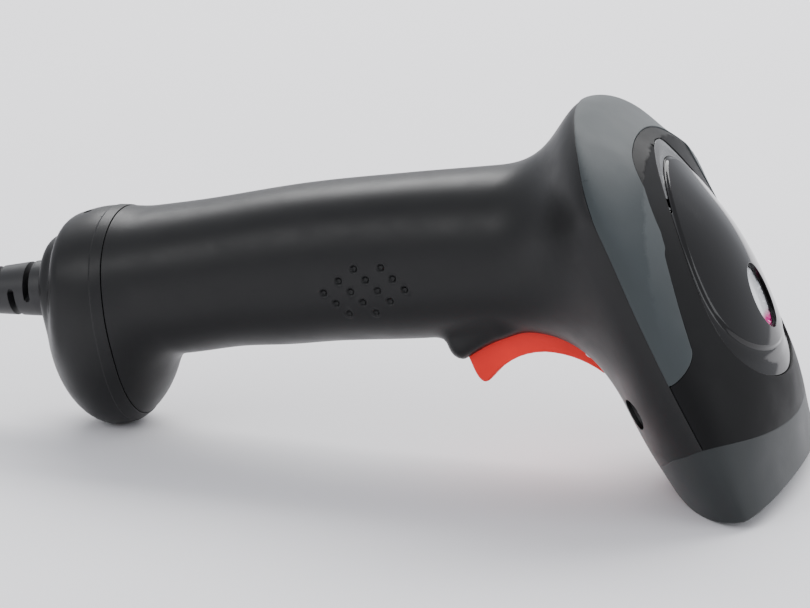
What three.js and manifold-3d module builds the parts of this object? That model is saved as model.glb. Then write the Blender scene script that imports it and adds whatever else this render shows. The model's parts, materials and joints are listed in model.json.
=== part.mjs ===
// A handheld barcode scanner, lying at rest on the heel of its handle and the nose of its head.
// Millimetres. +X runs along the handle towards the head, +Z is up, the table is z = 0, and the
// scanner is symmetric about the plane y = 0. The origin is under the middle of the scanner.

import * as THREE from "three";
import { mergeVertices } from "three/addons/utils/BufferGeometryUtils.js";
import Module from "manifold-3d";

const wasm = await Module();
wasm.setup();

// ---- Driving dimensions ------------------------------------------------------------------------

const GAP = 0.3; // between pieces that touch on the real object
const WALL = 2.6; // casing wall
const BAND_DEPTH = 1.3; // recess that holds the soft band
const HEAD_PITCH = 58; // degrees from the table up to the head's long axis
const HEAD_LENGTH = 80.2; // from the nose seam to the rear of the crown
const HEAD_HALF_WIDTH = 32;
const HANDLE_TILT = 8; // degrees, the run of the cable and the main board
const CABLE_EXIT = new THREE.Vector3(-87.8, 0, 30);
const NOSE = new THREE.Vector3(70, 0, 10);
const TRIGGER_PIVOT = new THREE.Vector2(41.5, 31);
const TRIGGER_HALF_WIDTH = 8.8;
const CORD_RADIUS = 2.25;
const COIL = { x: -222, radius: 25, columns: 2, layers: 5, lift: 1.1 };
const REST = { pitch: 0.81, drop: 0.85 }; // how the drawn device leans and sinks onto the table

// ---- Frames ------------------------------------------------------------------------------------

const scanner = new THREE.Group(); // the table's frame
const device = new THREE.Group(); // the frame that the device is drawn in, set down on the table last
scanner.add(device);

// x runs from the cable exit towards the head, z is up across the handle.
const handleFrame = new THREE.Group();
handleFrame.position.copy(CABLE_EXIT);
handleFrame.rotation.y = THREE.MathUtils.degToRad(-HANDLE_TILT);

// x points out of the top of the head, z runs from the nose to the rear of the head.
const headFrame = new THREE.Group();
headFrame.position.copy(NOSE);
headFrame.rotation.y = THREE.MathUtils.degToRad(HEAD_PITCH - 90);

// The scan engine, its front at z = 0, inside the head.
const engineFrame = new THREE.Group();
engineFrame.position.set(4, 0, 14);
headFrame.add(engineFrame);

device.add(handleFrame, headFrame);
scanner.updateMatrixWorld(true);

// Height above the table of a point of the device's drawing.
function tableHeight(x, z) {
  const pitch = THREE.MathUtils.degToRad(REST.pitch);
  return z * Math.cos(pitch) - x * Math.sin(pitch) - REST.drop;
}

// A side-view point of the head, h along it from the nose and t out of its top.
function headPoint(h, t) {
  const p = new THREE.Vector3(t, 0, h).applyMatrix4(headFrame.matrixWorld);
  return new THREE.Vector2(p.x, p.z);
}

// ---- Profiles along the handle and the head ----------------------------------------------------

// A smooth curve through [position, value] points, flat beyond its ends.
function profile(points) {
  const last = points.length - 1;
  const slope = points.map((_, i) => {
    const a = points[Math.max(i - 1, 0)];
    const b = points[Math.min(i + 1, last)];
    return (b[1] - a[1]) / (b[0] - a[0]);
  });
  return (position) => {
    const s = Math.min(Math.max(position, points[0][0]), points[last][0]);
    let i = 0;
    while (i < last - 1 && s > points[i + 1][0]) i++;
    const w = points[i + 1][0] - points[i][0];
    const u = (s - points[i][0]) / w;
    return (
      (1 + 2 * u) * (1 - u) ** 2 * points[i][1] +
      u * (1 - u) ** 2 * w * slope[i] +
      u * u * (3 - 2 * u) * points[i + 1][1] +
      u * u * (u - 1) * w * slope[i + 1]
    );
  };
}

// Handle: top line, bottom line and half width over x.
const handleTop = profile([
  [-98, 43.6], [-82, 46.9], [-71.5, 49.1], [-52, 53.2], [-28, 59],
  [-5, 63.2], [17, 66.8], [35, 70], [60, 72],
]);
const handleBottom = profile([
  [-98, 16], [-72, 17], [-55, 18.6], [-40, 21.8], [-28.6, 23.3],
  [-16.8, 25.3], [0, 27.4], [15, 29.6], [30, 31], [60, 33],
]);
const handleHalfWidth = profile([
  [-98, 16], [-76, 17.5], [-50, 16.5], [-20, 16.2], [0, 16.2], [20, 17], [40, 19], [60, 19],
]);

// Head over h: the crease between crown and underside, the crown's centre line, the underside's.
const crease = profile([
  [-16, 5], [7, 5.6], [22, 6.3], [37, 7.5], [52, 9.2], [66, 10.4], [72, 10.7], [77, 10.2], [81, 9],
]);
const crown = profile([
  [-18, 9.5], [-6, 14.2], [3, 18.1], [11, 20.3], [22, 21.5], [36, 21.9], [50, 20.8], [65, 18], [80, 15.6],
]);
const underside = profile([
  [-18, -13.5], [0, -14.5], [10, -15], [25, -14], [40, -11], [55, -8], [65, -5.6], [75, -5.6], [81, -6],
]);
const ROUNDING_FROM = { crown: 57, underside: 59 }; // h where the head starts to close to its rear

// Ovals on the crown, as seen along its t axis. Narrowing is the loss of width per millimetre of h.
const DOME = { h: 37.6, halfLength: 23.1, halfWidth: 18.9, narrowing: 0.012 };
const PANEL = { h: 37, halfLength: 28.5, halfWidth: 19.6, narrowing: 0.0128 };
const BADGE = { h: 25.5, halfLength: 7.2, halfWidth: 6.2, narrowing: 0 };
const COVER_REAR = { h: 30, halfLength: 40.5, halfWidth: 26, narrowing: 0 }; // its edge inside the band
const LENS_FROM = 49;

// Nose seam, rim of the nose bumper and plane of the window, as h over t.
function noseSeam(t) {
  return 6.8 - 0.042 * Math.max(t - 3.5, 0) ** 2 - 0.24 * Math.max(-3 - t, 0);
}
function windowPlane(t) {
  return 5.5 - 0.3 * (t + 12);
}
function noseRim(t) {
  const across = Math.min(Math.abs(t - 2) / (t > 2 ? 17 : 15), 1);
  return windowPlane(t) - 11 * (1 - across ** 2.4) ** (1 / 2.4);
}

// Right edge of the soft band, t over h.
const BAND_TIP = { h: 21.8, radius: 4.7 };
function bandEdge(h) {
  return 13.2 + 0.18 * (Math.min(h, 50) - 27);
}

// Parting line of the end cap, x over z.
function capParting(z) {
  return -70.6 + 0.13 * (50 - z);
}

// ---- The outer form as a field: below 0 inside, roughly in millimetres -------------------------

function blend(a, b, width) {
  const overlap = Math.max(width - Math.abs(a - b), 0) / width;
  return Math.min(a, b) - (overlap * overlap * width) / 4;
}

function blendCut(a, b, width) {
  return -blend(-a, -b, width);
}

// A superellipsoid from [distance, half size] pairs.
function superellipse(pairs, power) {
  let sum = 0;
  let steepness = 0;
  for (const [distance, size] of pairs) {
    const q = Math.abs(distance) / size;
    sum += q ** power;
    steepness += (q ** (power - 1) / size) ** 2;
  }
  const q = Math.max(sum, 1e-9) ** (1 / power);
  const gradient = Math.sqrt(steepness) * q ** (1 - power);
  return (q - 1) / Math.max(gradient, 1e-6);
}

const HEEL = { x: -72.8, z: 24.3, length: 15.2, width: 18.4, height: 24.6, lean: 0.03 };
const LIP = { x: 12, z: 28.4, length: 8.5, rise: 4.6, radius: 2.8, halfWidth: 8.5 }; // skirt at the trigger's tip
const SCOOP = { x: 28.8, z: 14.2, radius: 18.5 }; // finger scoop over the trigger
const DOME_BULGE = 1.6; // how far the middle of the dome stands out of the crown
const BOSS = { from: 0.9, length: 7.5, radius: 12.6, round: 2.6 }; // round end of the cap around the cable
const CAP_END = 6.4; // distance of the cap's end face behind the cable exit's face

function handleField(x, y, z) {
  const top = handleTop(x);
  const bottom = handleBottom(x);
  const tube = superellipse([[y, handleHalfWidth(x)], [z - (top + bottom) / 2, (top - bottom) / 2]], 2.3);
  const heelX = HEEL.x + HEEL.lean * (HEEL.z - z);
  const heel = superellipse([[x - heelX, HEEL.length], [y, HEEL.width], [z - HEEL.z, HEEL.height]], 2);
  const [lipX, lipZ] = [x - LIP.x, z - LIP.z];
  const run = (lipX * LIP.length + lipZ * LIP.rise) / (LIP.length ** 2 + LIP.rise ** 2);
  const share = Math.min(Math.max(run, 0), 1);
  const tail = Math.max(Math.abs(y) - LIP.halfWidth, 0);
  const lip = Math.hypot(lipX - share * LIP.length, lipZ - share * LIP.rise, tail) - LIP.radius;
  // The tube has a tilted end face, with the heel below it and the round boss of the cable on it.
  const along = handleFrame.worldToLocal(new THREE.Vector3(x, y, z));
  const closed = blendCut(Math.max(tube, x - 48), CAP_END - along.x, 3);
  const form = blend(blend(closed, heel, 5), lip, 5);
  const inRadius = Math.hypot(along.y, along.z + 0.5) - (BOSS.radius - BOSS.round);
  const inLength = Math.abs(along.x - BOSS.from - BOSS.length) - (BOSS.length - BOSS.round);
  const corner = Math.hypot(Math.max(inRadius, 0), Math.max(inLength, 0));
  const boss = corner + Math.min(Math.max(inRadius, inLength), 0) - BOSS.round;
  return blend(form, boss, 1.5);
}

function headField(x, y, z) {
  const local = headFrame.worldToLocal(new THREE.Vector3(x, y, z));
  const h = local.z;
  const line = crease(h);
  const above = local.x > line;
  const from = above ? ROUNDING_FROM.crown : ROUNDING_FROM.underside;
  const rear = [Math.max(h - from, 0), HEAD_LENGTH - from];
  const depth = above ? crown(h) - line : line - underside(h);
  const form = superellipse([[y, HEAD_HALF_WIDTH], [local.x - line, depth], rear], above ? 1.78 : 1.7);
  const width = DOME.halfWidth * Math.max(1 - DOME.narrowing * (h - DOME.h), 0.2);
  const across = ((h - DOME.h) / DOME.halfLength) ** 2 + (y / width) ** 2;
  return above ? form - DOME_BULGE * Math.max(1 - across, 0) : form;
}

function bodyField(x, y, z) {
  const joined = blend(handleField(x, y, z), headField(x, y, z), 15);
  const scoop = SCOOP.radius - Math.hypot(x - SCOOP.x, z - SCOOP.z);
  return Math.max(blendCut(joined, scoop, 2), -tableHeight(x, z));
}

// ---- The field as closed meshes ----------------------------------------------------------------

const AROUND = { outside: 24, inside: 16 }; // rays per station, for the outer faces and the inner ones
const INSIDE_FROM = -2; // levels below this are inner faces
const HANDLE_END = 37; // x where the handle's grid stops, inside the head's grid
const HEAD_START = 29; // x where the head's grid stops, inside the handle's grid

// Rays leave the stations of a spine. A station has its place in the side view, its pitch down in
// degrees, and the angle of its rays from the backward direction; a bare end station has no rays.
function handleStations() {
  const turn = [0, 20, 38, 50, 60, 70, 80].map((rays) => ({ x: -76, z: 27, pitch: 0, rays }));
  const tail = [-75, -71, -67, -63, -59, -56, -53, -46, -34, -20, -6, 3];
  const along = [...tail, 7, 10, 12.3, 18, 22, 25, 28, 31, 34, HANDLE_END];
  const run = along.map((x) => ({ x, z: 27 + 0.215 * (x + 76), pitch: 0, rays: 90 }));
  return [...turn, ...run, { ...run.at(-1), end: true }];
}

// The head's spine follows the crease, so that the crease is an edge of the grid.
function headStations() {
  const rear = [79.6, 78, 75.2, 72, 67, 61, 54, 46, 38, 30, 22, 15, 9, 3, -3, -9, -15];
  const run = rear.map((h) => {
    const p = headPoint(h, crease(h));
    return { x: p.x, z: p.y, pitch: HEAD_PITCH, rays: 90 };
  });
  const tip = headPoint(HEAD_LENGTH, crease(HEAD_LENGTH));
  return [{ ...run[0], x: tip.x, z: tip.y, end: true }, ...run, { ...run.at(-1), end: true }];
}

const HANDLE_GRID = { stations: handleStations(), limit: (x) => x - HANDLE_END - 3 };
const HEAD_GRID = { stations: headStations(), limit: (x) => HEAD_START - x };

// Distance along a ray to where the field, cut by the grid's limit, has the given level.
function reach(grid, origin, direction, level) {
  const at = (s) => {
    const x = origin.x + s * direction.x;
    const value = bodyField(x, s * direction.y, origin.z + s * direction.z) - level;
    return Math.max(value, grid.limit(x));
  };
  let near = 0;
  let far = 0.5;
  while (at(far) < 0) {
    near = far;
    far += 1.5;
  }
  for (let i = 0; i < 20; i++) {
    const middle = (near + far) / 2;
    if (at(middle) < 0) near = middle;
    else far = middle;
  }
  return far;
}

// The surface where the field has the given level, as a sphere's grid pulled onto it.
function skinGeometry(grid, level) {
  const rows = grid.stations.length - 1;
  const around = level > INSIDE_FROM ? AROUND.outside : AROUND.inside;
  const geometry = new THREE.SphereGeometry(1, around, rows);
  const position = geometry.getAttribute("position");
  const direction = new THREE.Vector3();
  grid.stations.forEach((station, row) => {
    const pitch = THREE.MathUtils.degToRad(station.pitch);
    const rays = THREE.MathUtils.degToRad(station.rays);
    for (let column = 0; column <= around; column++) {
      const angle = (2 * Math.PI * (column % around)) / around;
      const up = Math.sin(rays) * Math.sin(angle);
      direction.set(
        -Math.cos(rays) * Math.cos(pitch) + up * Math.sin(pitch),
        -Math.sin(rays) * Math.cos(angle),
        Math.cos(rays) * Math.sin(pitch) + up * Math.cos(pitch),
      );
      const s = station.end ? 0 : reach(grid, station, direction, level);
      position.setXYZ(
        row * (around + 1) + column,
        station.x + s * direction.x,
        s * direction.y,
        station.z + s * direction.z,
      );
    }
  });
  return geometry;
}

// ---- Solids ------------------------------------------------------------------------------------

function solid(geometry) {
  const bare = geometry.clone();
  bare.deleteAttribute("normal");
  bare.deleteAttribute("uv");
  const merged = mergeVertices(bare, 1e-4);
  return new wasm.Manifold(
    new wasm.Mesh({
      numProp: 3,
      vertProperties: merged.getAttribute("position").array,
      triVerts: new Uint32Array(merged.index.array),
    }),
  );
}

function geometryOf(body) {
  const mesh = body.getMesh();
  const geometry = new THREE.BufferGeometry();
  geometry.setAttribute("position", new THREE.BufferAttribute(mesh.vertProperties, 3));
  geometry.setIndex(new THREE.BufferAttribute(mesh.triVerts, 1));
  geometry.computeVertexNormals();
  return geometry;
}

const skins = new Map();
function skin(level) {
  if (!skins.has(level)) {
    const grids = [HANDLE_GRID, HEAD_GRID].map((grid) => solid(skinGeometry(grid, level)));
    skins.set(level, grids[0].add(grids[1]));
  }
  return skins.get(level);
}

// The casing between two levels of the field.
function layer(top, bottom) {
  return skin(top).subtract(skin(bottom));
}

function join(bodies) {
  return bodies.reduce((a, b) => a.add(b));
}

// A side-view outline, points of x and z, extruded across y.
function sidePlate(outline, y0 = -60, y1 = 60) {
  const depth = y1 - y0;
  const geometry = new THREE.ExtrudeGeometry(new THREE.Shape(outline), { depth, bevelEnabled: false });
  return geometry.rotateX(Math.PI / 2).translate(0, y1, 0);
}

function boxGeometry([x0, x1], [y0, y1], [z0, z1]) {
  const box = new THREE.BoxGeometry(x1 - x0, y1 - y0, z1 - z0);
  return box.translate((x0 + x1) / 2, (y0 + y1) / 2, (z0 + z1) / 2);
}

// A cylinder along an axis from one value to another; the other two coordinates place it.
function rodGeometry(axis, radius, [from, to], [a, b], sides = 20) {
  const rod = new THREE.CylinderGeometry(radius, radius, to - from, sides);
  const middle = (from + to) / 2;
  if (axis === "x") return rod.rotateZ(-Math.PI / 2).translate(middle, a, b);
  if (axis === "y") return rod.translate(a, middle, b);
  return rod.rotateX(Math.PI / 2).translate(a, b, middle);
}

// A turned piece along x from [x, radius] points.
function turnedGeometry(points, sides = 16) {
  const outline = points.map(([x, r]) => new THREE.Vector2(r, x));
  return new THREE.LatheGeometry(outline, sides).rotateZ(-Math.PI / 2);
}

// A solid from geometry that is drawn in a frame.
function solidIn(frame, geometry) {
  return solid(geometry.clone().applyMatrix4(frame.matrixWorld));
}

function range(from, to, step) {
  const count = Math.round((to - from) / step);
  return Array.from({ length: count + 1 }, (_, i) => from + ((to - from) * i) / count);
}

// ---- Cutters -----------------------------------------------------------------------------------

function coverRegion(offset) {
  const line = range(-20, 90, 5).map((h) => headPoint(h, crease(h) + offset));
  return solid(sidePlate([...line, headPoint(90, 60), headPoint(-20, 60)]));
}

// Everything on the nose side of a curve of h over t.
function noseRegion(curve, offset, samples = range(-34, 34, 2)) {
  const line = samples.map((t) => headPoint(curve(t) + offset, t));
  return solid(sidePlate([...line, headPoint(-60, 34), headPoint(-60, -34)]));
}

function capRegion(offset) {
  const outline = [[-1, -10], [-1, 60], [-120, 60], [-120, -10]].map(([side, z]) => {
    return new THREE.Vector2(side === -1 ? capParting(z) + offset : side, z);
  });
  return solid(sidePlate(outline));
}

function bandRegion(inset, fromCrease) {
  const tip = BAND_TIP;
  const hs = range(tip.h + inset, 84, 4);
  const left = hs.map((h) => headPoint(h, crease(h) + fromCrease));
  const right = range(tip.h + tip.radius, 84, 4).map((h) => headPoint(h, bandEdge(h) - inset));
  const centre = tip.h + tip.radius;
  const corner = range(20, 80, 15).map((degrees) => {
    const a = THREE.MathUtils.degToRad(degrees);
    const reachT = bandEdge(centre) - crease(tip.h) - inset;
    return headPoint(
      centre - (tip.radius - inset) * Math.cos(a),
      crease(tip.h) + reachT * Math.sin(a),
    );
  });
  const low = solid(sidePlate([...corner, ...right, ...left.reverse()]));
  const rear = solidIn(headFrame, boxGeometry([5, 40], [-40, 40], [48, 84]));
  return low.add(rear.subtract(oval(COVER_REAR, -inset)).intersect(coverRegion(fromCrease)));
}

// An oval column through the top of the head.
function oval(shape, inset) {
  const column = new THREE.CylinderGeometry(1, 1, 40, 32).rotateZ(-Math.PI / 2);
  column.scale(1, shape.halfWidth - inset, shape.halfLength - inset);
  const position = column.getAttribute("position");
  for (let i = 0; i < position.count; i++) {
    position.setY(i, position.getY(i) * (1 - shape.narrowing * position.getZ(i)));
  }
  return solidIn(headFrame, column.translate(20, 0, shape.h));
}

function lensRegion(inset) {
  const rear = solidIn(headFrame, boxGeometry([0, 40], [-30, 30], [LENS_FROM + inset, 90]));
  return oval(PANEL, inset).intersect(rear).subtract(oval(DOME, -0.4 - inset));
}

// ---- Casing ------------------------------------------------------------------------------------

const HEAD_SCREW = { h: 18, y: 20.5, seat: -4 };
const BOARD_SCREWS = [43.5, 88.5];
const ENGINE_SCREW = { y: 16.4, z: 14 };

// Ribs and bosses keep inside the casing's outer face.
function inside(body) {
  return body.intersect(skin(-0.8));
}

function mirrored(make) {
  return [-1, 1].map(make);
}

function boardBosses() {
  return BOARD_SCREWS.map((x) => {
    const boss = solidIn(handleFrame, rodGeometry("z", 3, [-16, 4.7], [x, 0]));
    return inside(boss);
  });
}

function screwTower(side, from, to, radius) {
  return solidIn(headFrame, rodGeometry("x", radius, [from, to], [side * HEAD_SCREW.y, HEAD_SCREW.h], 16));
}

function triggerEars() {
  const ears = mirrored((side) => {
    const near = side * (TRIGGER_HALF_WIDTH + 1);
    const far = side * (TRIGGER_HALF_WIDTH + 3.2);
    const outline = [[18.5, 24], [46, 20], [46, 36], [41, 40.6], [18.5, 40.6]];
    const points = outline.map(([x, z]) => new THREE.Vector2(x, z));
    return solid(sidePlate(points, Math.min(near, far), Math.max(near, far)));
  });
  const seat = solid(boxGeometry([18.5, 25.5], [-11, 11], [39, 40.6]));
  return inside(join([...ears, seat]));
}

function enginePosts() {
  return mirrored((side) => {
    const post = rodGeometry("x", 2.4, [-22, -8.8], [side * ENGINE_SCREW.y, ENGINE_SCREW.z]);
    return inside(solidIn(engineFrame, post));
  });
}

function makeMainHousing() {
  const towers = mirrored((side) => inside(screwTower(side, -20, 12, 4.3)));
  const outside = [coverRegion(0), noseRegion(noseSeam, GAP), capRegion(GAP)];
  let body = join([layer(0, -WALL), ...towers, ...boardBosses(), triggerEars(), ...enginePosts()]);
  for (const region of outside) body = body.subtract(region);
  const holes = [
    ...mirrored((side) => screwTower(side, -30, HEAD_SCREW.seat, 3.6)),
    ...mirrored((side) => screwTower(side, -10, 14, 1.8)),
    ...BOARD_SCREWS.map((x) => solidIn(handleFrame, rodGeometry("z", 1.3, [-6, 10], [x, 0]))),
    ...mirrored((side) => {
      const pilot = rodGeometry("x", 1.05, [-12.6, 0], [side * ENGINE_SCREW.y, ENGINE_SCREW.z]);
      return solidIn(engineFrame, pilot);
    }),
    solid(rodGeometry("y", 1.35, [-12, 12], [TRIGGER_PIVOT.x, TRIGGER_PIVOT.y])),
    solid(boxGeometry([12.3, 45], [-TRIGGER_HALF_WIDTH - 0.4, TRIGGER_HALF_WIDTH + 0.4], [10, 38])),
  ];
  return body.subtract(join(holes));
}

function makeHeadCover() {
  const towers = mirrored((side) => inside(screwTower(side, 0, 30, 4.3)));
  const band = bandRegion(0, -1).subtract(skin(-BAND_DEPTH));
  return join([layer(0, -WALL), ...towers])
    .intersect(coverRegion(GAP))
    .subtract(noseRegion(noseSeam, GAP))
    .subtract(oval(PANEL, 0))
    .subtract(band)
    .subtract(join(mirrored((side) => screwTower(side, 0, 13, 1.75))));
}

function makeBand() {
  return layer(0.3, GAP - BAND_DEPTH).intersect(bandRegion(GAP, GAP)).subtract(oval(PANEL, -GAP));
}

function makeNoseBumper() {
  const seat = layer(-2.8, -5).intersect(noseRegion(windowPlane, -0.8));
  return join([layer(0, -3), seat])
    .intersect(noseRegion(noseSeam, 0))
    .subtract(noseRegion(noseRim, 0, range(-34, 34, 1)));
}

function makeWindow() {
  const flat = noseRegion(windowPlane, 1).subtract(noseRegion(windowPlane, -0.5));
  return skin(-3.3).intersect(flat);
}

function makeWindowGasket() {
  const flat = noseRegion(windowPlane, 2.8).subtract(noseRegion(windowPlane, 1 + GAP));
  return layer(-3.3, -5.6).intersect(flat);
}

function makeTopPanel() {
  const rim = skin(-0.4).intersect(oval(PANEL, GAP));
  const dome = skin(0.35).intersect(oval(DOME, 0));
  const dish = oval(BADGE, 0).subtract(skin(-1.8));
  return rim.add(dome).subtract(skin(-WALL)).subtract(lensRegion(0)).subtract(dish);
}

function makeIndicatorLens() {
  return layer(-0.1, -1.9).intersect(lensRegion(GAP));
}

function makeBadge() {
  return layer(-1, -1.5).intersect(oval(BADGE, GAP));
}

function makeEndCap() {
  const spigot = capRegion(4).subtract(capRegion(-3));
  const web = capRegion(-0.5).subtract(capRegion(-3));
  const rim = layer(-WALL - GAP, -4.2).intersect(spigot).add(layer(-2.2, -4.2).intersect(web));
  const cableHole = solidIn(handleFrame, rodGeometry("x", 6.8, [-5, 12], [0, 0]));
  const releaseHole = solid(rodGeometry("z", 1, [38, 60], [-79.1, 0], 12));
  return layer(0, -WALL).intersect(capRegion(0)).add(rim).subtract(cableHole).subtract(releaseHole);
}

// A self-tapping screw along x with its head at the low end: shank to the given length.
function screwGeometry(headRadius, headHeight, shankRadius, length) {
  return turnedGeometry(
    [
      [0.9, 0], [0.9, 0.8], [0, 0.8], [0, headRadius * 0.8], [headHeight * 0.4, headRadius],
      [headHeight, headRadius], [headHeight, shankRadius], [length - 2, shankRadius],
      [length, 0],
    ],
    10,
  );
}

// ---- Trigger -----------------------------------------------------------------------------------

function triggerOutline() {
  const shape = new THREE.Shape();
  shape.moveTo(13, 26.6);
  shape.lineTo(14.3, 23.8);
  shape.quadraticCurveTo(16.4, 19.2, 18.4, 21.6);
  shape.quadraticCurveTo(23, 28.2, 30.5, 28.9);
  shape.quadraticCurveTo(37.5, 29.2, 43.6, 25.4);
  shape.quadraticCurveTo(44.9, 27.6, 44.7, 30.6);
  shape.quadraticCurveTo(44.4, 34.6, 40.8, 34.9);
  shape.lineTo(34, 35.2);
  shape.lineTo(24, 35.9);
  shape.lineTo(6.8, 36.2);
  shape.lineTo(6.8, 34.8);
  shape.lineTo(13, 34.6);
  return shape;
}

function makeTrigger() {
  const bevel = 0.7;
  const core = new THREE.ExtrudeGeometry(triggerOutline(), {
    depth: 2 * (TRIGGER_HALF_WIDTH - bevel),
    bevelThickness: bevel,
    bevelSize: bevel,
    bevelOffset: -bevel,
    bevelSegments: 2,
    curveSegments: 6,
  });
  core.rotateX(Math.PI / 2).translate(0, TRIGGER_HALF_WIDTH - bevel, 0);
  const bore = rodGeometry("y", 1.35, [-20, 20], [TRIGGER_PIVOT.x, TRIGGER_PIVOT.y]);
  const springPocket = rodGeometry("z", 3.1, [31.5, 40], [22, 0]);
  return solid(core).subtract(solid(bore)).subtract(solid(springPocket));
}

// A compression spring between the trigger's pocket and the seat above it.
function springGeometry() {
  const turns = 4.5;
  const [bottom, top] = [32.3, 38.2];
  const points = range(0, turns, 0.1).map((turn) => {
    const a = 2 * Math.PI * turn;
    const z = bottom + ((top - bottom) * turn) / turns;
    return new THREE.Vector3(22 + 2.2 * Math.cos(a), 2.2 * Math.sin(a), z);
  });
  const section = new THREE.Shape().absarc(0, 0, 0.3, 0, 2 * Math.PI);
  return new THREE.ExtrudeGeometry(section, {
    curveSegments: 3,
    steps: points.length - 1,
    bevelEnabled: false,
    extrudePath: new THREE.CatmullRomCurve3(points),
  });
}

const SWITCH = { x: 33, z: 36.6 };

function makeSwitchBody() {
  const { x, z } = SWITCH;
  const body = solid(boxGeometry([x - 3, x + 3], [-3, 3], [z, z + 4]));
  return body.subtract(solid(rodGeometry("z", 1.3, [z - 1, z + 3], [x, 0])));
}

// ---- Scan engine, in its own frame -------------------------------------------------------------

const MIRROR = { y: -3.5, z: 7 };
const MIRROR_HUB = { y: -4.6, z: 8.1 };

function makeEngineChassis() {
  const flanges = mirrored((side) => {
    const y = [side * 13.5, side * 18.2].sort((a, b) => a - b);
    return solid(boxGeometry([-8.5, -6.7], y, [11.4, 16.6]));
  });
  const holes = [
    boxGeometry([-6.9, 2.2], [-12.2, 12.2], [-1, 15.5]),
    boxGeometry([3.4, 8], [-12.2, 12.2], [-1, 15.5]),
    rodGeometry("y", 3.4, [8, 20], [-3, MIRROR.z]),
    rodGeometry("x", 0.8, [-10, 4], [MIRROR_HUB.y, MIRROR_HUB.z], 12),
    ...mirrored((side) => rodGeometry("x", 1.15, [-10, 0], [side * ENGINE_SCREW.y, ENGINE_SCREW.z], 12)),
  ];
  const block = solid(boxGeometry([-8.5, 9.5], [-14, 14], [0, 18]));
  return join([block, ...flanges]).subtract(join(holes.map(solid)));
}

function makeMirrorCarrier() {
  const hub = solid(rodGeometry("x", 1.6, [-6.4, 1.8], [MIRROR_HUB.y, MIRROR_HUB.z], 16));
  const bore = solid(rodGeometry("x", 0.8, [-8, 4], [MIRROR_HUB.y, MIRROR_HUB.z], 12));
  const arm = solid(boxGeometry([-4, -2], [-8.2, MIRROR_HUB.y], [7.3, 8.9]));
  const plate = new THREE.BoxGeometry(8, 0.9, 6.4).rotateX(-Math.PI / 4);
  const backing = solid(plate.translate(-2.3, MIRROR.y - 0.5, MIRROR.z + 0.5));
  return join([hub, arm, backing]).subtract(bore);
}

function mirrorGeometry() {
  const plate = new THREE.BoxGeometry(8, 0.7, 6.4).rotateX(-Math.PI / 4);
  return plate.translate(-2.3, MIRROR.y + 0.3, MIRROR.z - 0.3);
}

function ringGeometry(inner, outer, [from, to], sides = 20) {
  return turnedGeometry([[from, inner], [from, outer], [to, outer], [to, inner], [from, inner]], sides);
}

// ---- Cable -------------------------------------------------------------------------------------

const BOOT = { start: 6.4, end: 3.7, length: 33, ribs: 5 };

// The moulded boot: a flange inside the cap, then collars and grooves that taper to the cord.
function reliefGeometry() {
  const outline = [[21.4, 0], [21.4, 4.4], [5.8, 4.4], [5.8, 7.6], [3.8, 7.6], [3.8, BOOT.start]];
  const pitch = (BOOT.length - 6) / BOOT.ribs;
  for (let i = 0; i < BOOT.ribs; i++) {
    const x = -4 - i * pitch;
    const radius = THREE.MathUtils.lerp(BOOT.start, BOOT.end, i / BOOT.ribs);
    const groove = radius * 0.78;
    outline.push([x, radius], [x, groove], [x - 1.8, groove], [x - 1.8, radius - 0.25]);
  }
  outline.push([-BOOT.length, BOOT.end], [-BOOT.length, 0]);
  return turnedGeometry(outline.reverse());
}

function makeModularJack() {
  const shellBox = solid(boxGeometry([22, 39], [-7.6, 7.6], [-6.6, 4.7]));
  return shellBox.subtract(solid(boxGeometry([20, 38.8 - 0.4], [-6.2, 6.2], [-4.4, 3.6])));
}

// Route of the cord's free stretch: out of the boot, down to the table and over to the coil.
const CORD_ROUTE = [
  [-119.6, 0, 26.2], [-125.4, 0, 25.5], [-131, 0, 24.4], [-136.4, 0, 22.8], [-141.6, 0, 20.7],
  [-146.9, 0, 18.2], [-152.1, 0, 15.4], [-157.4, 0, 12.5], [-162.8, 0, 9.7], [-168.2, 0.2, 7.2],
  [-173.6, 0.8, 5.1], [-178.8, 2.1, 3.6], [-183.6, 4.2, 2.8], [-187.8, 6.8, 2.6], [-191.1, 9.8, 2.9],
].map((point) => new THREE.Vector3(...point));

function cordGeometry() {
  const section = new THREE.Shape().absarc(0, 0, CORD_RADIUS, 0, 2 * Math.PI);
  return new THREE.ExtrudeGeometry(section, {
    curveSegments: 4,
    steps: 14,
    bevelEnabled: false,
    extrudePath: new THREE.CatmullRomCurve3(CORD_ROUTE),
  });
}

const COIL_OUTER = COIL.radius + COIL.columns * CORD_RADIUS;
const COIL_INNER = COIL.radius - COIL.columns * CORD_RADIUS;
const COIL_TOP = COIL.lift + COIL.layers * 2 * CORD_RADIUS;

function coilGeometry() {
  const outline = [
    [COIL_INNER, COIL.lift], [COIL_OUTER, COIL.lift], [COIL_OUTER, COIL_TOP],
    [COIL_INNER, COIL_TOP], [COIL_INNER, COIL.lift],
  ].map(([r, z]) => new THREE.Vector2(r, z));
  return new THREE.LatheGeometry(outline, 36).rotateX(Math.PI / 2).translate(COIL.x, 0, 0);
}

function makeTie() {
  const [from, to] = [COIL.x - COIL_OUTER, COIL.x - COIL_INNER];
  const outer = boxGeometry([from - 1.1, to + 1.1], [-4, 4], [0, COIL_TOP + 1.1]);
  const inner = boxGeometry([from - 0.6, to + 0.6], [-5, 5], [COIL.lift - GAP, COIL_TOP + GAP]);
  return solid(outer).subtract(solid(inner));
}

const USB = { y: -COIL.radius, z: COIL_TOP + GAP, x: COIL.x + 13 };

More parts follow.
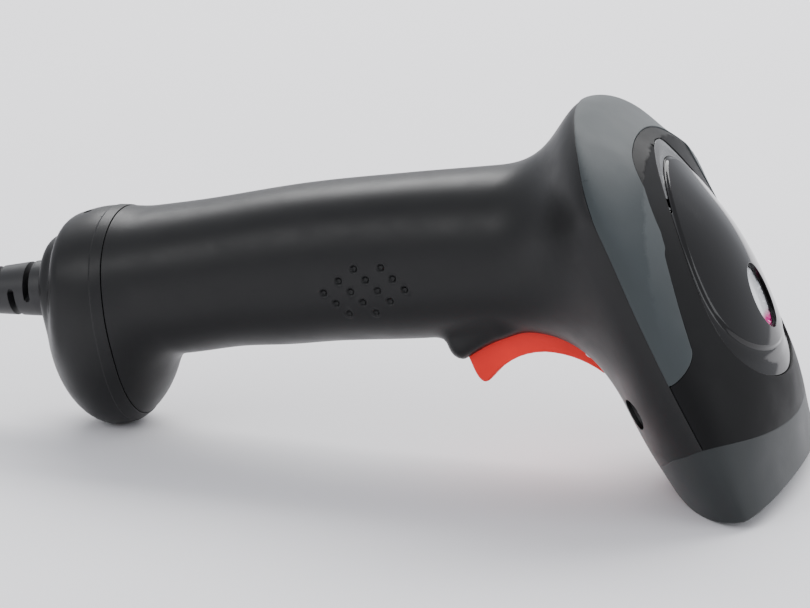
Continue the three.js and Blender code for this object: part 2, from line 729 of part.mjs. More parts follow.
function makeUsbBody() {
  const { x, y, z } = USB;
  const outline = [
    [x - 24, -2.6], [x - 18, -5.4], [x - 14, -7.6], [x, -7.6], [x, 7.6], [x - 14, 7.6],
    [x - 18, 5.4], [x - 24, 2.6],
  ].map(([px, py]) => new THREE.Vector2(px, py + y));
  const plate = new THREE.ExtrudeGeometry(new THREE.Shape(outline), {
    depth: 6.6, bevelThickness: 0.7, bevelSize: 0.7, bevelOffset: -0.7, bevelSegments: 1,
  });
  return solid(plate.translate(0, 0, z + 0.7));
}

function makeUsbShell() {
  const { x, y, z } = USB;
  const middle = z + 4;
  const outer = boxGeometry([x + GAP, x + 12.3], [y - 6, y + 6], [middle - 2.25, middle + 2.25]);
  const inner = boxGeometry([x + 1, x + 14], [y - 5.7, y + 5.7], [middle - 1.95, middle + 1.95]);
  return solid(outer).subtract(solid(inner));
}

function usbTongueGeometry() {
  const { x, y, z } = USB;
  return boxGeometry([x + 1.3, x + 11.4], [y - 5.4, y + 5.4], [z + 4.1, z + 5.6]);
}

// A flat flexible cable from the main board's connector to the engine's board.
function flexGeometry() {
  const start = new THREE.Vector3(101.2, 0, 9.6).applyMatrix4(handleFrame.matrixWorld);
  const end = headPoint(34.4, 3);
  const path = new THREE.CatmullRomCurve3([
    start,
    new THREE.Vector3(start.x + 8, 0, start.z + 2.4),
    new THREE.Vector3(32, 0, 54.5),
    new THREE.Vector3(44, 0, 49.5),
    new THREE.Vector3(end.x - 1, 0, end.y + 2.2),
    new THREE.Vector3(end.x + 2.2, 0, end.y + 2.5),
  ]);
  const points = path.getPoints(14);
  const upper = points.map((p) => new THREE.Vector2(p.x, p.z + 0.35));
  const lower = points.map((p) => new THREE.Vector2(p.x, p.z)).reverse();
  return sidePlate([...upper, ...lower], -4.5, 4.5);
}

// ---- Materials ---------------------------------------------------------------------------------

function material(color, roughness, metalness = 0, opacity = 1) {
  return new THREE.MeshStandardMaterial({ color, roughness, metalness, opacity, transparent: opacity < 1 });
}

const MATERIALS = {
  blackPlastic: material(0x2a2c2c, 0.55),
  softGrey: material(0x596264, 0.7),
  bumperGrey: material(0x464b4d, 0.6),
  gloss: material(0x17181b, 0.12),
  clear: material(0xdfe4e6, 0.1, 0, 0.4),
  smokedWindow: material(0x2a0d0d, 0.1, 0, 0.6),
  red: material(0xe0453a, 0.4),
  silver: material(0xb9bcc0, 0.3, 0.8),
  steel: material(0x9a9da0, 0.35, 1),
  brass: material(0xb08d4a, 0.35, 1),
  zinc: material(0x8d9094, 0.45, 1),
  boardGreen: material(0x1f5a35, 0.5),
  chip: material(0x1b1b1d, 0.5),
  copper: material(0xb06a3a, 0.4, 1),
  mirror: material(0xe6eaee, 0.05, 1),
  filterRed: material(0x7a1010, 0.15),
  ledWhite: material(0xf2f2ea, 0.4),
  rubber: material(0x1e1f20, 0.8),
  jackBlack: material(0x202123, 0.5),
  plugClear: material(0xc9cdd0, 0.2),
  flexAmber: material(0xc8762a, 0.45),
};

// ---- Assembly ----------------------------------------------------------------------------------

function place(parent, name, shape, finish) {
  const geometry = shape instanceof THREE.BufferGeometry ? shape : geometryOf(shape);
  const mesh = new THREE.Mesh(geometry, MATERIALS[finish]);
  mesh.name = name;
  parent.add(mesh);
  return mesh;
}

function buildCasing() {
  place(device, "main_housing", makeMainHousing(), "blackPlastic");
  place(device, "head_cover", makeHeadCover(), "blackPlastic");
  place(device, "grey_band", makeBand(), "softGrey");
  place(device, "nose_bumper", makeNoseBumper(), "bumperGrey");
  place(device, "scan_window", makeWindow(), "smokedWindow");
  place(device, "window_gasket", makeWindowGasket(), "rubber");
  place(device, "top_panel", makeTopPanel(), "gloss");
  place(device, "indicator_lens", makeIndicatorLens(), "clear");
  place(device, "badge", makeBadge(), "silver");
  place(device, "end_cap", makeEndCap(), "blackPlastic");
  for (const [name, side] of [["head_screw_right", -1], ["head_screw_left", 1]]) {
    const screw = place(headFrame, name, screwGeometry(2.8, 2, 1.4, 15), "steel");
    screw.position.set(HEAD_SCREW.seat - GAP - 2, side * HEAD_SCREW.y, HEAD_SCREW.h);
  }
}

function buildTrigger() {
  const pin = rodGeometry("y", 1.25, [-11.8, 11.8], [TRIGGER_PIVOT.x, TRIGGER_PIVOT.y]);
  place(device, "trigger", makeTrigger(), "red");
  place(device, "trigger_pin", pin, "steel");
  place(device, "trigger_spring", springGeometry(), "steel");
  place(device, "switch_body", makeSwitchBody(), "chip");
  place(device, "switch_plunger", rodGeometry("z", 1, [35.8, 38.2], [SWITCH.x, 0], 16), "ledWhite");
  const boardAt = [[27, 39], [-12, 12], [SWITCH.z + 4.3, SWITCH.z + 5.5]];
  place(device, "trigger_board", boxGeometry(...boardAt), "boardGreen");
}

function buildMainBoard() {
  const plate = solid(boxGeometry([26, 105], [-12, 12], [5, 6.6]));
  const holes = BOARD_SCREWS.map((x) => solid(rodGeometry("z", 1.6, [0, 10], [x, 0], 16)));
  place(handleFrame, "main_board", plate.subtract(join(holes)), "boardGreen");
  place(handleFrame, "processor_chip", boxGeometry([61, 73], [-6, 6], [6.9, 8.3]), "chip");
  place(handleFrame, "memory_chip", boxGeometry([76, 84], [-5, 5], [6.9, 8]), "chip");
  place(handleFrame, "beeper", rodGeometry("z", 6, [6.9, 13.6], [53, 0], 24), "chip");
  place(handleFrame, "flex_connector", boxGeometry([97.5, 102.5], [-5.5, 5.5], [6.9, 9.3]), "ledWhite");
  BOARD_SCREWS.forEach((x, i) => {
    const screw = place(handleFrame, `board_screw_${i + 1}`, screwGeometry(2.5, 1.6, 1.1, 9), "steel");
    screw.rotation.y = Math.PI / 2;
    screw.position.set(x, 0, 6.6 + GAP + 1.6);
  });
  place(device, "flex_cable", flexGeometry(), "flexAmber");
}

function buildIndicator() {
  place(headFrame, "led_board", boxGeometry([13.4, 14.6], [-8, 8], [55, 64]), "boardGreen");
  mirrored((side) => {
    const led = boxGeometry([14.9, 16], [side * 4 - 1.5, side * 4 + 1.5], [60.5, 62.5]);
    return place(headFrame, side < 0 ? "indicator_led_1" : "indicator_led_2", led, "ledWhite");
  });
}

function buildEngine() {
  place(engineFrame, "engine_chassis", makeEngineChassis(), "zinc");
  place(engineFrame, "laser_barrel", rodGeometry("y", 3.1, [6.5, 15.5], [-3, MIRROR.z]), "brass");
  place(engineFrame, "laser_lens", rodGeometry("y", 1.8, [5.2, 6.2], [-3, MIRROR.z], 16), "clear");
  place(engineFrame, "scan_mirror", mirrorGeometry(), "mirror");
  place(engineFrame, "mirror_carrier", makeMirrorCarrier(), "jackBlack");
  place(engineFrame, "mirror_magnet", boxGeometry([-4.4, -1.6], [-9.8, -8.5], [6.7, 9.5]), "steel");
  place(engineFrame, "mirror_shaft", rodGeometry("x", 0.65, [-8.4, 3.3], [MIRROR_HUB.y, MIRROR_HUB.z], 12), "steel");
  const coil = ringGeometry(1.2, 2.8, [-0.6, 0.6]).rotateZ(Math.PI / 2).translate(-3, -11.3, 8.1);
  place(engineFrame, "drive_coil", coil, "copper");
  place(engineFrame, "collector_filter", boxGeometry([3.7, 7.7], [-10, 10], [0.6, 1.6]), "filterRed");
  place(engineFrame, "photodiode", boxGeometry([4.2, 7.2], [-2, 2], [13.8, 15.2]), "chip");
  place(engineFrame, "engine_board", boxGeometry([-8.5, 9.5], [-14, 14], [18.3, 19.7]), "boardGreen");
  for (const [name, side] of [["engine_screw_1", -1], ["engine_screw_2", 1]]) {
    const screw = place(engineFrame, name, screwGeometry(1.9, 1.3, 0.85, 6.6), "steel");
    screw.rotation.z = Math.PI;
    screw.position.set(-6.7 + GAP + 1.3, side * ENGINE_SCREW.y, ENGINE_SCREW.z);
  }
}

function buildJack() {
  place(handleFrame, "modular_jack", makeModularJack(), "jackBlack");
  place(handleFrame, "modular_plug", boxGeometry([21.7, 38], [-5.8, 5.8], [-4, 3.2]), "plugClear");
}

// Leans the finished device onto the table and moves its middle over the origin.
function setDown() {
  device.rotation.y = THREE.MathUtils.degToRad(REST.pitch);
  device.position.z = -REST.drop;
  device.updateMatrixWorld(true);
  device.position.x = -new THREE.Box3().setFromObject(device, true).getCenter(new THREE.Vector3()).x;
  device.updateMatrixWorld(true);
}

function buildCable() {
  place(handleFrame, "strain_relief", reliefGeometry(), "rubber");
  place(scanner, "cord", cordGeometry(), "rubber");
  place(scanner, "cord_coil", coilGeometry(), "rubber");
  place(scanner, "cord_tie", makeTie(), "softGrey");
  place(scanner, "usb_plug_body", makeUsbBody(), "rubber");
  place(scanner, "usb_plug_shell", makeUsbShell(), "steel");
  place(scanner, "usb_plug_tongue", usbTongueGeometry(), "ledWhite");
}

buildCasing();
buildTrigger();
buildMainBoard();
buildIndicator();
buildEngine();
buildJack();
setDown();
buildCable();

export default scanner;
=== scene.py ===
"""A handheld barcode scanner: fine shells, cable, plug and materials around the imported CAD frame."""
import json
import math

import bmesh
import bpy
import numpy as np
from mathutils import Matrix, Vector


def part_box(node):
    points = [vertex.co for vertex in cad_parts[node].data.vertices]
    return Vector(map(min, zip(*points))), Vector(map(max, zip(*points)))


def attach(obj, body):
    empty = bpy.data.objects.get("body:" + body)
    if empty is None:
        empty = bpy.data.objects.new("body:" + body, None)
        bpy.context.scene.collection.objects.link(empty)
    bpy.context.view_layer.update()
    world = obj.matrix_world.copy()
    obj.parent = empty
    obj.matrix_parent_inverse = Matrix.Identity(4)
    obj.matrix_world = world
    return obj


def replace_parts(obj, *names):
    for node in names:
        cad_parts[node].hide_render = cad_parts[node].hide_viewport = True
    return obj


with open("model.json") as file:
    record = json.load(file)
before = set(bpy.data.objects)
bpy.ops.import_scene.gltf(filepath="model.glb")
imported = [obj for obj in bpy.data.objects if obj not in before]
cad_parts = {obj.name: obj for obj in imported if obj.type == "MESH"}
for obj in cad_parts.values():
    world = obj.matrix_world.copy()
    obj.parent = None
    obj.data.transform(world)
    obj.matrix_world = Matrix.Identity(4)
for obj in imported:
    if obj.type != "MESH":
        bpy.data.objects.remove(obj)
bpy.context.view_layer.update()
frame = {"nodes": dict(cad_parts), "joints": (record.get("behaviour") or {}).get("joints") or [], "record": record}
NODES = frame["nodes"]
RECORD = frame["record"]
JOINTS = {joint["name"]: joint for joint in frame["joints"]}

# ---- Driving values, in millimetres in the device's drawing ------------------------------------

MM = 0.001
REST_PITCH = math.radians(0.81)  # the device leans nose-down onto the table
TRIGGER_PIVOT = np.array([41.5, 0, 31])
HEAD_PITCH = math.radians(58)  # from the table up to the head's long axis
HEAD_HALF_WIDTH = 32
NOSE = (70, 10)  # x and z of the head's coordinates' origin, at its nose
CABLE_EXIT = (-87.8, 30)  # x and z
HANDLE_TILT = math.radians(8)
NET_STEP = 1.0  # spacing of the fine nets
SEAM = 0.06  # half the width of a parting line
CORD_RADIUS = 2.25
CAMERA_DISTANCE = 0.792  # metres
CAMERA_TARGET = (-0.00274, 0, 0.0332)
CAMERA_ANGLES = (18.23, 16.75, -0.77)  # azimuth, elevation and roll in degrees


# ---- Between the drawing and the frame ---------------------------------------------------------

def turned(points, pitch):
    """Points turned about Y, nose-down for a positive pitch."""
    x, y, z = np.asarray(points, float).T
    c, s = math.cos(pitch), math.sin(pitch)
    return np.stack([x * c + z * s, y, z * c - x * s], -1)


PLACE = np.array(JOINTS["trigger_pull"]["pos_m"]) / MM - turned(TRIGGER_PIVOT, REST_PITCH)


def placed(points):
    """Points of the device's drawing, in millimetres, as metres in the CAD frame."""
    return (turned(points, REST_PITCH) + PLACE) * MM


def table_height(x, z):
    return z * math.cos(REST_PITCH) - x * math.sin(REST_PITCH) + PLACE[2]


def head_coords(p):
    """(t, h): out of the top of the head, and along it from the nose to the rear."""
    dx, dz = p[:, 0] - NOSE[0], p[:, 2] - NOSE[1]
    c, s = math.sin(HEAD_PITCH), math.cos(HEAD_PITCH)
    return dx * c + dz * s, dz * c - dx * s


def head_point(h, t, y=0.0):
    """The drawing's point at h along the head and t out of its top."""
    c, s = math.sin(HEAD_PITCH), math.cos(HEAD_PITCH)
    h, t, y = np.broadcast_arrays(h, t, y)
    return np.stack([NOSE[0] + t * c - h * s, y, NOSE[1] + t * s + h * c], -1)


def handle_coords(p):
    """(along, up) in the cable's frame, along from the cable exit towards the head."""
    dx, dz = p[:, 0] - CABLE_EXIT[0], p[:, 2] - CABLE_EXIT[1]
    c, s = math.cos(HANDLE_TILT), math.sin(HANDLE_TILT)
    return dx * c + dz * s, dz * c - dx * s


def handle_point(along, y, up):
    c, s = math.cos(HANDLE_TILT), math.sin(HANDLE_TILT)
    along, y, up = np.broadcast_arrays(along, y, up)
    return np.stack([CABLE_EXIT[0] + along * c - up * s, y, CABLE_EXIT[1] + along * s + up * c], -1)


# ---- Camera and cable --------------------------------------------------------------------------

def add_object(name, data):
    made = bpy.data.objects.new(name, data)
    bpy.context.scene.collection.objects.link(made)
    return made


def make_camera():
    azimuth, elevation, roll = (math.radians(a) for a in CAMERA_ANGLES)
    back = Vector((
        math.sin(azimuth) * math.cos(elevation),
        -math.cos(azimuth) * math.cos(elevation),
        math.sin(elevation),
    ))
    side = Vector((math.cos(azimuth), math.sin(azimuth), 0))
    up = back.cross(side)
    right = side * math.cos(roll) + up * math.sin(roll)
    up = back.cross(right)
    data = bpy.data.cameras.new("camera")
    data.lens = 160
    data.clip_start, data.clip_end = 0.05, 20
    camera = add_object("camera", data)
    rotation = Matrix((right, up, back)).transposed().to_4x4()
    camera.matrix_world = Matrix.Translation(Vector(CAMERA_TARGET) + back * CAMERA_DISTANCE) @ rotation
    bpy.context.scene.camera = camera


make_camera()

# The cord's free stretch, from the boot down to the table and over to the coil.
CORD_ROUTE = [
    (-0.1196, 0, 0.0262), (-0.1254, 0, 0.0255), (-0.1310, 0, 0.0244), (-0.1364, 0, 0.0228),
    (-0.1416, 0, 0.0207), (-0.1469, 0, 0.0182), (-0.1521, 0, 0.0154), (-0.1574, 0, 0.0125),
    (-0.1628, 0, 0.0097), (-0.1682, 0.0002, 0.0072), (-0.1736, 0.0008, 0.0051),
    (-0.1788, 0.0021, 0.0036), (-0.1836, 0.0042, 0.0028), (-0.1878, 0.0068, 0.0026),
    (-0.1911, 0.0098, 0.0029),
]
COIL = {"x": -0.222, "radius": 0.025, "lift": 0.0011, "layers": 5, "starts_at": 40, "ends_at": 192}
CROSSING = 0.24  # the last share of a turn, in which the cord moves over to the next column
LEAD = [(203, 0, 0.14), (214, 0.05, 0.42), (225, 0.3, 0.72), (236, 0.75, 0.93)]  # degrees, out, rise
POINTS_PER_TURN = 30


def coil_columns():
    """Radius and height of the coil's turns, in the order that they are wound."""
    step = 2 * CORD_RADIUS * MM
    for layer in range(COIL["layers"]):
        radii = [COIL["radius"] + step / 2, COIL["radius"] - step / 2]
        for radius in radii if layer % 2 == 0 else radii[::-1]:
            yield radius, COIL["lift"] + (layer + 0.5) * step


def cord_path():
    """The cord's centre line: the free stretch, the coil's turns, and the lead up to the plug."""
    points = list(CORD_ROUTE)
    columns = list(coil_columns())
    for index, (radius, height) in enumerate(columns):
        next_radius, next_height = columns[min(index + 1, len(columns) - 1)]
        for step in range(POINTS_PER_TURN):
            degrees = COIL["starts_at"] + 360 * step / POINTS_PER_TURN
            if index == len(columns) - 1 and degrees > COIL["ends_at"]:
                break
            share = smooth((step / POINTS_PER_TURN - 0.76) / CROSSING)
            r = radius + (next_radius - radius) * share
            z = height + (next_height - height) * share
            points.append(round_coil(r, degrees, z))
    low, high = box_of("usb_plug_body")
    middle = (low + high) / 2
    for degrees, r, rise in LEAD:
        height = columns[-1][1] + (middle[2] - columns[-1][1]) * rise
        points.append(round_coil(columns[-1][0] + 2 * CORD_RADIUS * MM * r, degrees, height))
    points += [(low[0] - 0.0012, middle[1], middle[2]), (low[0] + 0.003, middle[1], middle[2])]
    return points


def round_coil(radius, degrees, height):
    a = math.radians(degrees)
    return (COIL["x"] + radius * math.cos(a), radius * math.sin(a), height)


def smooth(x):
    x = np.clip(x, 0, 1)
    return x * x * (3 - 2 * x)


def box_of(node):
    """The low and high corners of a CAD node, in metres."""
    return [np.array(corner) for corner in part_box(node)]


def cord_curve(name, points):
    data = bpy.data.curves.new(name, "CURVE")
    data.dimensions = "3D"
    data.bevel_depth = 1  # times the points' radius
    data.bevel_resolution = 5
    data.resolution_u = 3
    data.use_fill_caps = True
    spline = data.splines.new("NURBS")
    spline.points.add(len(points) - 1)
    for item, point in zip(spline.points, points):
        item.co = (*point, 1)
        item.radius = CORD_RADIUS * MM
    spline.order_u = 4
    spline.use_endpoint_u = True
    return add_object(name, data)


cable = cord_curve("cable", cord_path())
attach(cable, "scanner")
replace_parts(cable, "cord", "cord_coil")


# ---- Outer form: below 0 inside, roughly in millimetres ----------------------------------------

def profile(points):
    """A smooth curve through (position, value) points, flat beyond its ends."""
    xs, values = np.array(points, float).T
    first = np.maximum(np.arange(len(xs)) - 1, 0)
    last = np.minimum(np.arange(len(xs)) + 1, len(xs) - 1)
    slopes = (values[last] - values[first]) / (xs[last] - xs[first])

    def at(position):
        s = np.clip(position, xs[0], xs[-1])
        i = np.clip(np.searchsorted(xs, s, side="right") - 1, 0, len(xs) - 2)
        w = xs[i + 1] - xs[i]
        u = (s - xs[i]) / w
        return (
            (1 + 2 * u) * (1 - u) ** 2 * values[i]
            + u * (1 - u) ** 2 * w * slopes[i]
            + u * u * (3 - 2 * u) * values[i + 1]
            + u * u * (u - 1) * w * slopes[i + 1]
        )

    return at


handle_top = profile([
    (-98, 43.6), (-82, 46.9), (-71.5, 49.1), (-52, 53.2), (-28, 59),
    (-5, 63.2), (17, 66.8), (35, 70), (60, 72),
])
handle_bottom = profile([
    (-98, 16), (-72, 17), (-55, 18.6), (-40, 21.8), (-28.6, 23.3),
    (-16.8, 25.3), (0, 27.4), (15, 29.6), (30, 31), (60, 33),
])
handle_half_width = profile([
    (-98, 16), (-76, 17.5), (-50, 16.5), (-20, 16.2), (0, 16.2), (20, 17), (40, 19), (60, 19),
])
crease = profile([
    (-16, 5), (7, 5.6), (22, 6.3), (37, 7.5), (52, 9.2), (66, 10.4), (72, 10.7), (77, 10.2), (81, 9),
])
crown = profile([
    (-18, 9.5), (-6, 14.2), (3, 18.1), (11, 20.3), (22, 21.5), (36, 21.8), (50, 20.4),
    (65, 17), (80, 13.8),
])
underside = profile([
    (-18, -13.5), (0, -14.5), (10, -15), (25, -14), (40, -11), (55, -8), (65, -5.6),
    (75, -5.6), (81, -6),
])

# Ovals in the crown: middle h, half length, half width, and the share of the width lost per mm of h.
DOME = (37.6, 23.1, 18.9, 0.012)
PANEL = (37, 28.5, 19.6, 0.0128)
BADGE = (25.5, 7.2, 5.4, 0)
COVER_REAR = (30, 45, 25.4, 0)  # the hard cover's edge inside the band
DOME_BULGE = 1.6
LENS_FROM = 51.5
BAND_TIP = {"h": 21.8, "radius": 4.7}
CROWN_END = (57, 23.2)  # the h from which the crown rounds off to the rear, and over what length
UNDERSIDE_END = (59, 21.2)


def nose_seam(t):
    """The h of the seam between the bumper and the casing."""
    return 6.8 - 0.042 * np.maximum(t - 3.5, 0) ** 2 - 0.24 * np.maximum(-3 - t, 0)


def window_plane(t):
    """The h of the window's plane."""
    return 5.5 - 0.3 * (t + 12)


def band_edge(h):
    """The t of the soft band's upper edge."""
    return 13.2 + 0.18 * (np.minimum(h, 50) - 27)


def cap_parting(z):
    """The x of the seam between the handle and its end cap."""
    return -70.6 + 0.13 * (50 - z)


def blend(a, b, width):
    """Two forms joined, with a fillet of about this width."""
    overlap = np.maximum(width - np.abs(a - b), 0) / width
    return np.minimum(a, b) - overlap * overlap * width / 4


def blend_cut(a, b, width):
    """What two forms share, with its edge rounded over about this width."""
    return -blend(-a, -b, width)


def superellipse(pairs, power):
    """A superellipsoid from (distance, half size) pairs."""
    total = steepness = 0
    for distance, size in pairs:
        q = np.abs(distance) / size
        total = total + q**power
        steepness = steepness + (q ** (power - 1) / size) ** 2
    q = np.maximum(total, 1e-9) ** (1 / power)
    return (q - 1) / np.maximum(np.sqrt(steepness) * q ** (1 - power), 1e-6)


TUBE_FRONT = 48  # the x at which the handle's tube ends, inside the head
TUBE_REAR = 6.4  # the handle's rear face, from the cable's exit
HEEL = {"x": -72.8, "z": 24.3, "lean": 0.03, "half_sizes": (15.2, 18.4, 24.6)}
LIP = {"x": 12, "z": 28.4, "dx": 8.5, "dz": 4.6, "radius": 2.8, "half_width": 8.5}  # over the trigger's tip
BOSS = {"along": 8.4, "up": -0.5, "half_length": 4.9, "radius": 10.0, "rounding": 2.6}  # round the cable
SCOOP = {"x": 28.8, "z": 14.2, "radius": 18.5}  # for the finger, in front of the trigger


def handle_field(p):
    x, y, z = p.T
    top, bottom = handle_top(x), handle_bottom(x)
    tube = superellipse([(y, handle_half_width(x)), (z - (top + bottom) / 2, (top - bottom) / 2)], 2.3)
    heel_x = HEEL["x"] + HEEL["lean"] * (HEEL["z"] - z)
    heel = superellipse(list(zip((x - heel_x, y, z - HEEL["z"]), HEEL["half_sizes"])), 2)
    dx, dz = LIP["dx"], LIP["dz"]
    run = np.clip(((x - LIP["x"]) * dx + (z - LIP["z"]) * dz) / (dx**2 + dz**2), 0, 1)
    tail = np.maximum(np.abs(y) - LIP["half_width"], 0)
    lip = np.sqrt((x - LIP["x"] - dx * run) ** 2 + (z - LIP["z"] - dz * run) ** 2 + tail**2)
    along, up = handle_coords(p)
    closed = blend_cut(np.maximum(tube, x - TUBE_FRONT), TUBE_REAR - along, 3)
    form = blend(blend(closed, heel, 5), lip - LIP["radius"], 5)
    in_radius = np.hypot(y, up - BOSS["up"]) - BOSS["radius"]
    in_length = np.abs(along - BOSS["along"]) - BOSS["half_length"]
    corner = np.hypot(np.maximum(in_radius, 0), np.maximum(in_length, 0))
    boss = corner + np.minimum(np.maximum(in_radius, in_length), 0) - BOSS["rounding"]
    return blend(form, boss, 1.5)


def head_field(p):
    t, h = head_coords(p)
    y = p[:, 1]
    line = crease(h)
    side = (y, HEAD_HALF_WIDTH)
    high_rear, low_rear = ((np.maximum(h - start, 0), size) for start, size in (CROWN_END, UNDERSIDE_END))
    high = superellipse([side, (t - line, crown(h) - line), high_rear], 1.78)
    low = superellipse([side, (t - line, line - underside(h)), low_rear], 1.7)
    width = DOME[2] * np.maximum(1 - DOME[3] * (h - DOME[0]), 0.2)
    across = ((h - DOME[0]) / DOME[1]) ** 2 + (y / width) ** 2
    return np.where(t > line, high - DOME_BULGE * np.maximum(1 - across, 0), low)


def body_field(p):
    joined = blend(handle_field(p), head_field(p), 15)
    scoop = SCOOP["radius"] - np.hypot(p[:, 0] - SCOOP["x"], p[:, 2] - SCOOP["z"])
    return np.maximum(blend_cut(joined, scoop, 2), -table_height(p[:, 0], p[:, 2]))


# ---- Meshes on a field: (points, triangles) ----------------------------------------------------

PROBE = 0.02  # how far from a point its gradient is read
SNAP = 0.28  # points that are this close to a cut are moved onto it


def gradient(field, p):
    steps = np.eye(3) * PROBE
    return np.stack([field(p + s) - field(p - s) for s in steps], -1) / (2 * PROBE)


def unit(v):
    return v / np.maximum(np.linalg.norm(v, axis=-1, keepdims=True), 1e-9)


def onto(field, p, rounds):
    """Points pulled onto the field's zero surface."""
    for _ in range(rounds):
        g = gradient(field, p)
        move = field(p) / np.maximum((g * g).sum(-1), 0.05)
        p = p - g * np.clip(move, -1.5, 1.5)[:, None]
    return p


def edge_table(triangles):
    """Every edge once, and the three edges of each triangle by number."""
    ends = np.sort(triangles[:, [[0, 1], [1, 2], [2, 0]]], axis=-1)
    count = triangles.max() + 1
    keys, which = np.unique(ends[..., 0] * count + ends[..., 1], return_inverse=True)
    return np.stack([keys // count, keys % count], -1), which.reshape(-1, 3)


def net(field, low, high, step):
    """The field's zero surface as a net of evenly spaced points, symmetric about y = 0."""
    axes = [np.arange(a, b + step, step) for a, b in zip(low, high)]
    half = axes[1].size // 2
    grid = np.stack(np.meshgrid(axes[0], axes[1][half:], axes[2], indexing="ij"), -1)
    right = field(grid.reshape(-1, 3)).reshape(grid.shape[:3])
    values = np.concatenate([right[:, :0:-1], right], axis=1)
    shape = np.array(values.shape)
    strides = np.array([shape[1] * shape[2], shape[2], 1])
    total = np.zeros((values.size, 3))
    hits = np.zeros(values.size)
    quads = []
    for axis in range(3):
        b, c = (axis + 1) % 3, (axis + 2) % 3
        ahead = np.take(values, range(1, shape[axis]), axis)
        here = np.take(values, range(shape[axis] - 1), axis)
        found = np.argwhere((here < 0) != (ahead < 0))
        found = found[(found[:, b] > 0) & (found[:, c] > 0)]
        f0, f1 = here[tuple(found.T)], ahead[tuple(found.T)]
        point = found.astype(float)
        point[:, axis] += f0 / (f0 - f1)
        base = found @ strides
        corners = np.stack([
            base - strides[b] - strides[c], base - strides[c], base, base - strides[b],
        ], -1)
        quads.append(np.where((f0 < 0)[:, None], corners, corners[:, ::-1]))
        for corner in corners.T:
            np.add.at(total, corner, point)
            np.add.at(hits, corner, 1)
    quads = np.concatenate(quads)
    used, inverse = np.unique(quads, return_inverse=True)
    points = total[used] / hits[used, None] * step + [axes[0][0], -axes[1][-1], axes[2][0]]
    q = inverse.reshape(-1, 4)
    triangles = np.concatenate([q[:, [0, 1, 2]], q[:, [0, 2, 3]]])
    points = onto(field, points, 2)
    pairs, _ = edge_table(triangles)
    for _ in range(3):
        total, hits = np.zeros_like(points), np.zeros(len(points))
        for a, b in (pairs.T, pairs.T[::-1]):
            np.add.at(total, a, points[b])
            np.add.at(hits, a, 1)
        points = onto(field, points + 0.5 * (total / hits[:, None] - points), 1)
    return onto(field, points, 1), triangles


def split_edges(points, triangles, pairs, which, marked, new_points):
    number = np.full(len(pairs), -1)
    number[marked] = len(points) + np.arange(len(new_points))
    points = np.vstack([points, new_points])
    middles = number[which]
    pattern = (middles >= 0) @ np.array([1, 2, 4])
    made = [triangles[pattern == 0]]
    for turn, (one, two) in enumerate([(1, 5), (2, 3), (4, 6)]):
        t, m = np.roll(triangles, -turn, 1), np.roll(middles, -turn, 1)
        for kind, faces in ((one, [(0, 3, 2), (3, 1, 2)]), (two, [(0, 3, 5), (3, 1, 2), (3, 2, 5)])):
            both = np.hstack([t, m])[pattern == kind]
            made += [both[:, list(face)] for face in faces]
    both = np.hstack([triangles, middles])[pattern == 7]
    made += [both[:, list(face)] for face in [(0, 3, 5), (3, 1, 4), (5, 4, 2), (3, 4, 5)]]
    return points, np.concatenate(made)


def compact(points, triangles):
    used, inverse = np.unique(triangles, return_inverse=True)
    return points[used], inverse.reshape(-1, 3)


def slope_along(region, p):
    """The region's gradient along the casing."""
    n = unit(gradient(body_field, p))
    g = gradient(region, p)
    return g - n * (g * n).sum(-1, keepdims=True)


def even(region):
    """The region's value as a distance along the casing, close to its boundary."""

    def at(p):
        f = region(p)
        close = np.abs(f) < 1.5
        g = slope_along(region, p[close])
        f[close] /= np.maximum(np.linalg.norm(g, axis=1), 0.25)
        return f

    return at


def clip(mesh, region):
    """The part of a mesh where region(points) is below 0, cut cleanly along the boundary."""
    points, triangles = mesh
    f = region(points)
    near = np.zeros(len(points), bool)
    near[np.unique(triangles[f[triangles].min(1) < 3])] = True
    pairs, which = edge_table(triangles)
    counts = np.bincount(which.ravel(), minlength=len(pairs))
    rim = np.zeros(len(points), bool)
    rim[pairs[counts == 1]] = True
    move = near & ~rim & (np.abs(f) < SNAP)
    points = points.copy()
    for _ in range(2):
        p = points[move]
        g = slope_along(region, p)
        shift = region(p) / np.maximum((g * g).sum(-1), 0.2)
        points[move] = onto(body_field, p - g * np.clip(shift, -0.4, 0.4)[:, None], 1)
    f = region(points)
    f[np.abs(f) < 0.01] = 0
    a, b = pairs.T
    marked = f[a] * f[b] < 0
    a, b = a[marked], b[marked]
    share = (f[a] / (f[a] - f[b]))[:, None]
    cross = points[a] + (points[b] - points[a]) * share
    again = region(cross)
    for _ in range(2):
        share = np.clip(share - (again / (f[b] - f[a]))[:, None], 0.01, 0.99)
        cross = points[a] + (points[b] - points[a]) * share
        again = region(cross)
    start = len(points)
    points, triangles = split_edges(points, triangles, pairs, which, marked, cross)
    f = np.concatenate([f, np.zeros(len(points) - start)])
    keep = (f[triangles].max(1) <= 0) & (f[triangles].min(1) < 0)
    return compact(points, triangles[keep])


def refine(mesh, region, length):
    """Splits the edges that are longer than length where region(points) is below 0."""
    points, triangles = mesh
    for _ in range(6):
        pairs, which = edge_table(triangles)
        a, b = points[pairs[:, 0]], points[pairs[:, 1]]
        long = np.linalg.norm(a - b, axis=1) > length
        middle = (a + b) / 2
        marked = np.zeros(len(pairs), bool)
        marked[long] = region(middle[long]) < 0
        if not marked.any():
            break
        new = onto(body_field, middle[marked], 1)
        points, triangles = split_edges(points, triangles, pairs, which, marked, new)
    return points, triangles


# ---- Closed shells -----------------------------------------------------------------------------

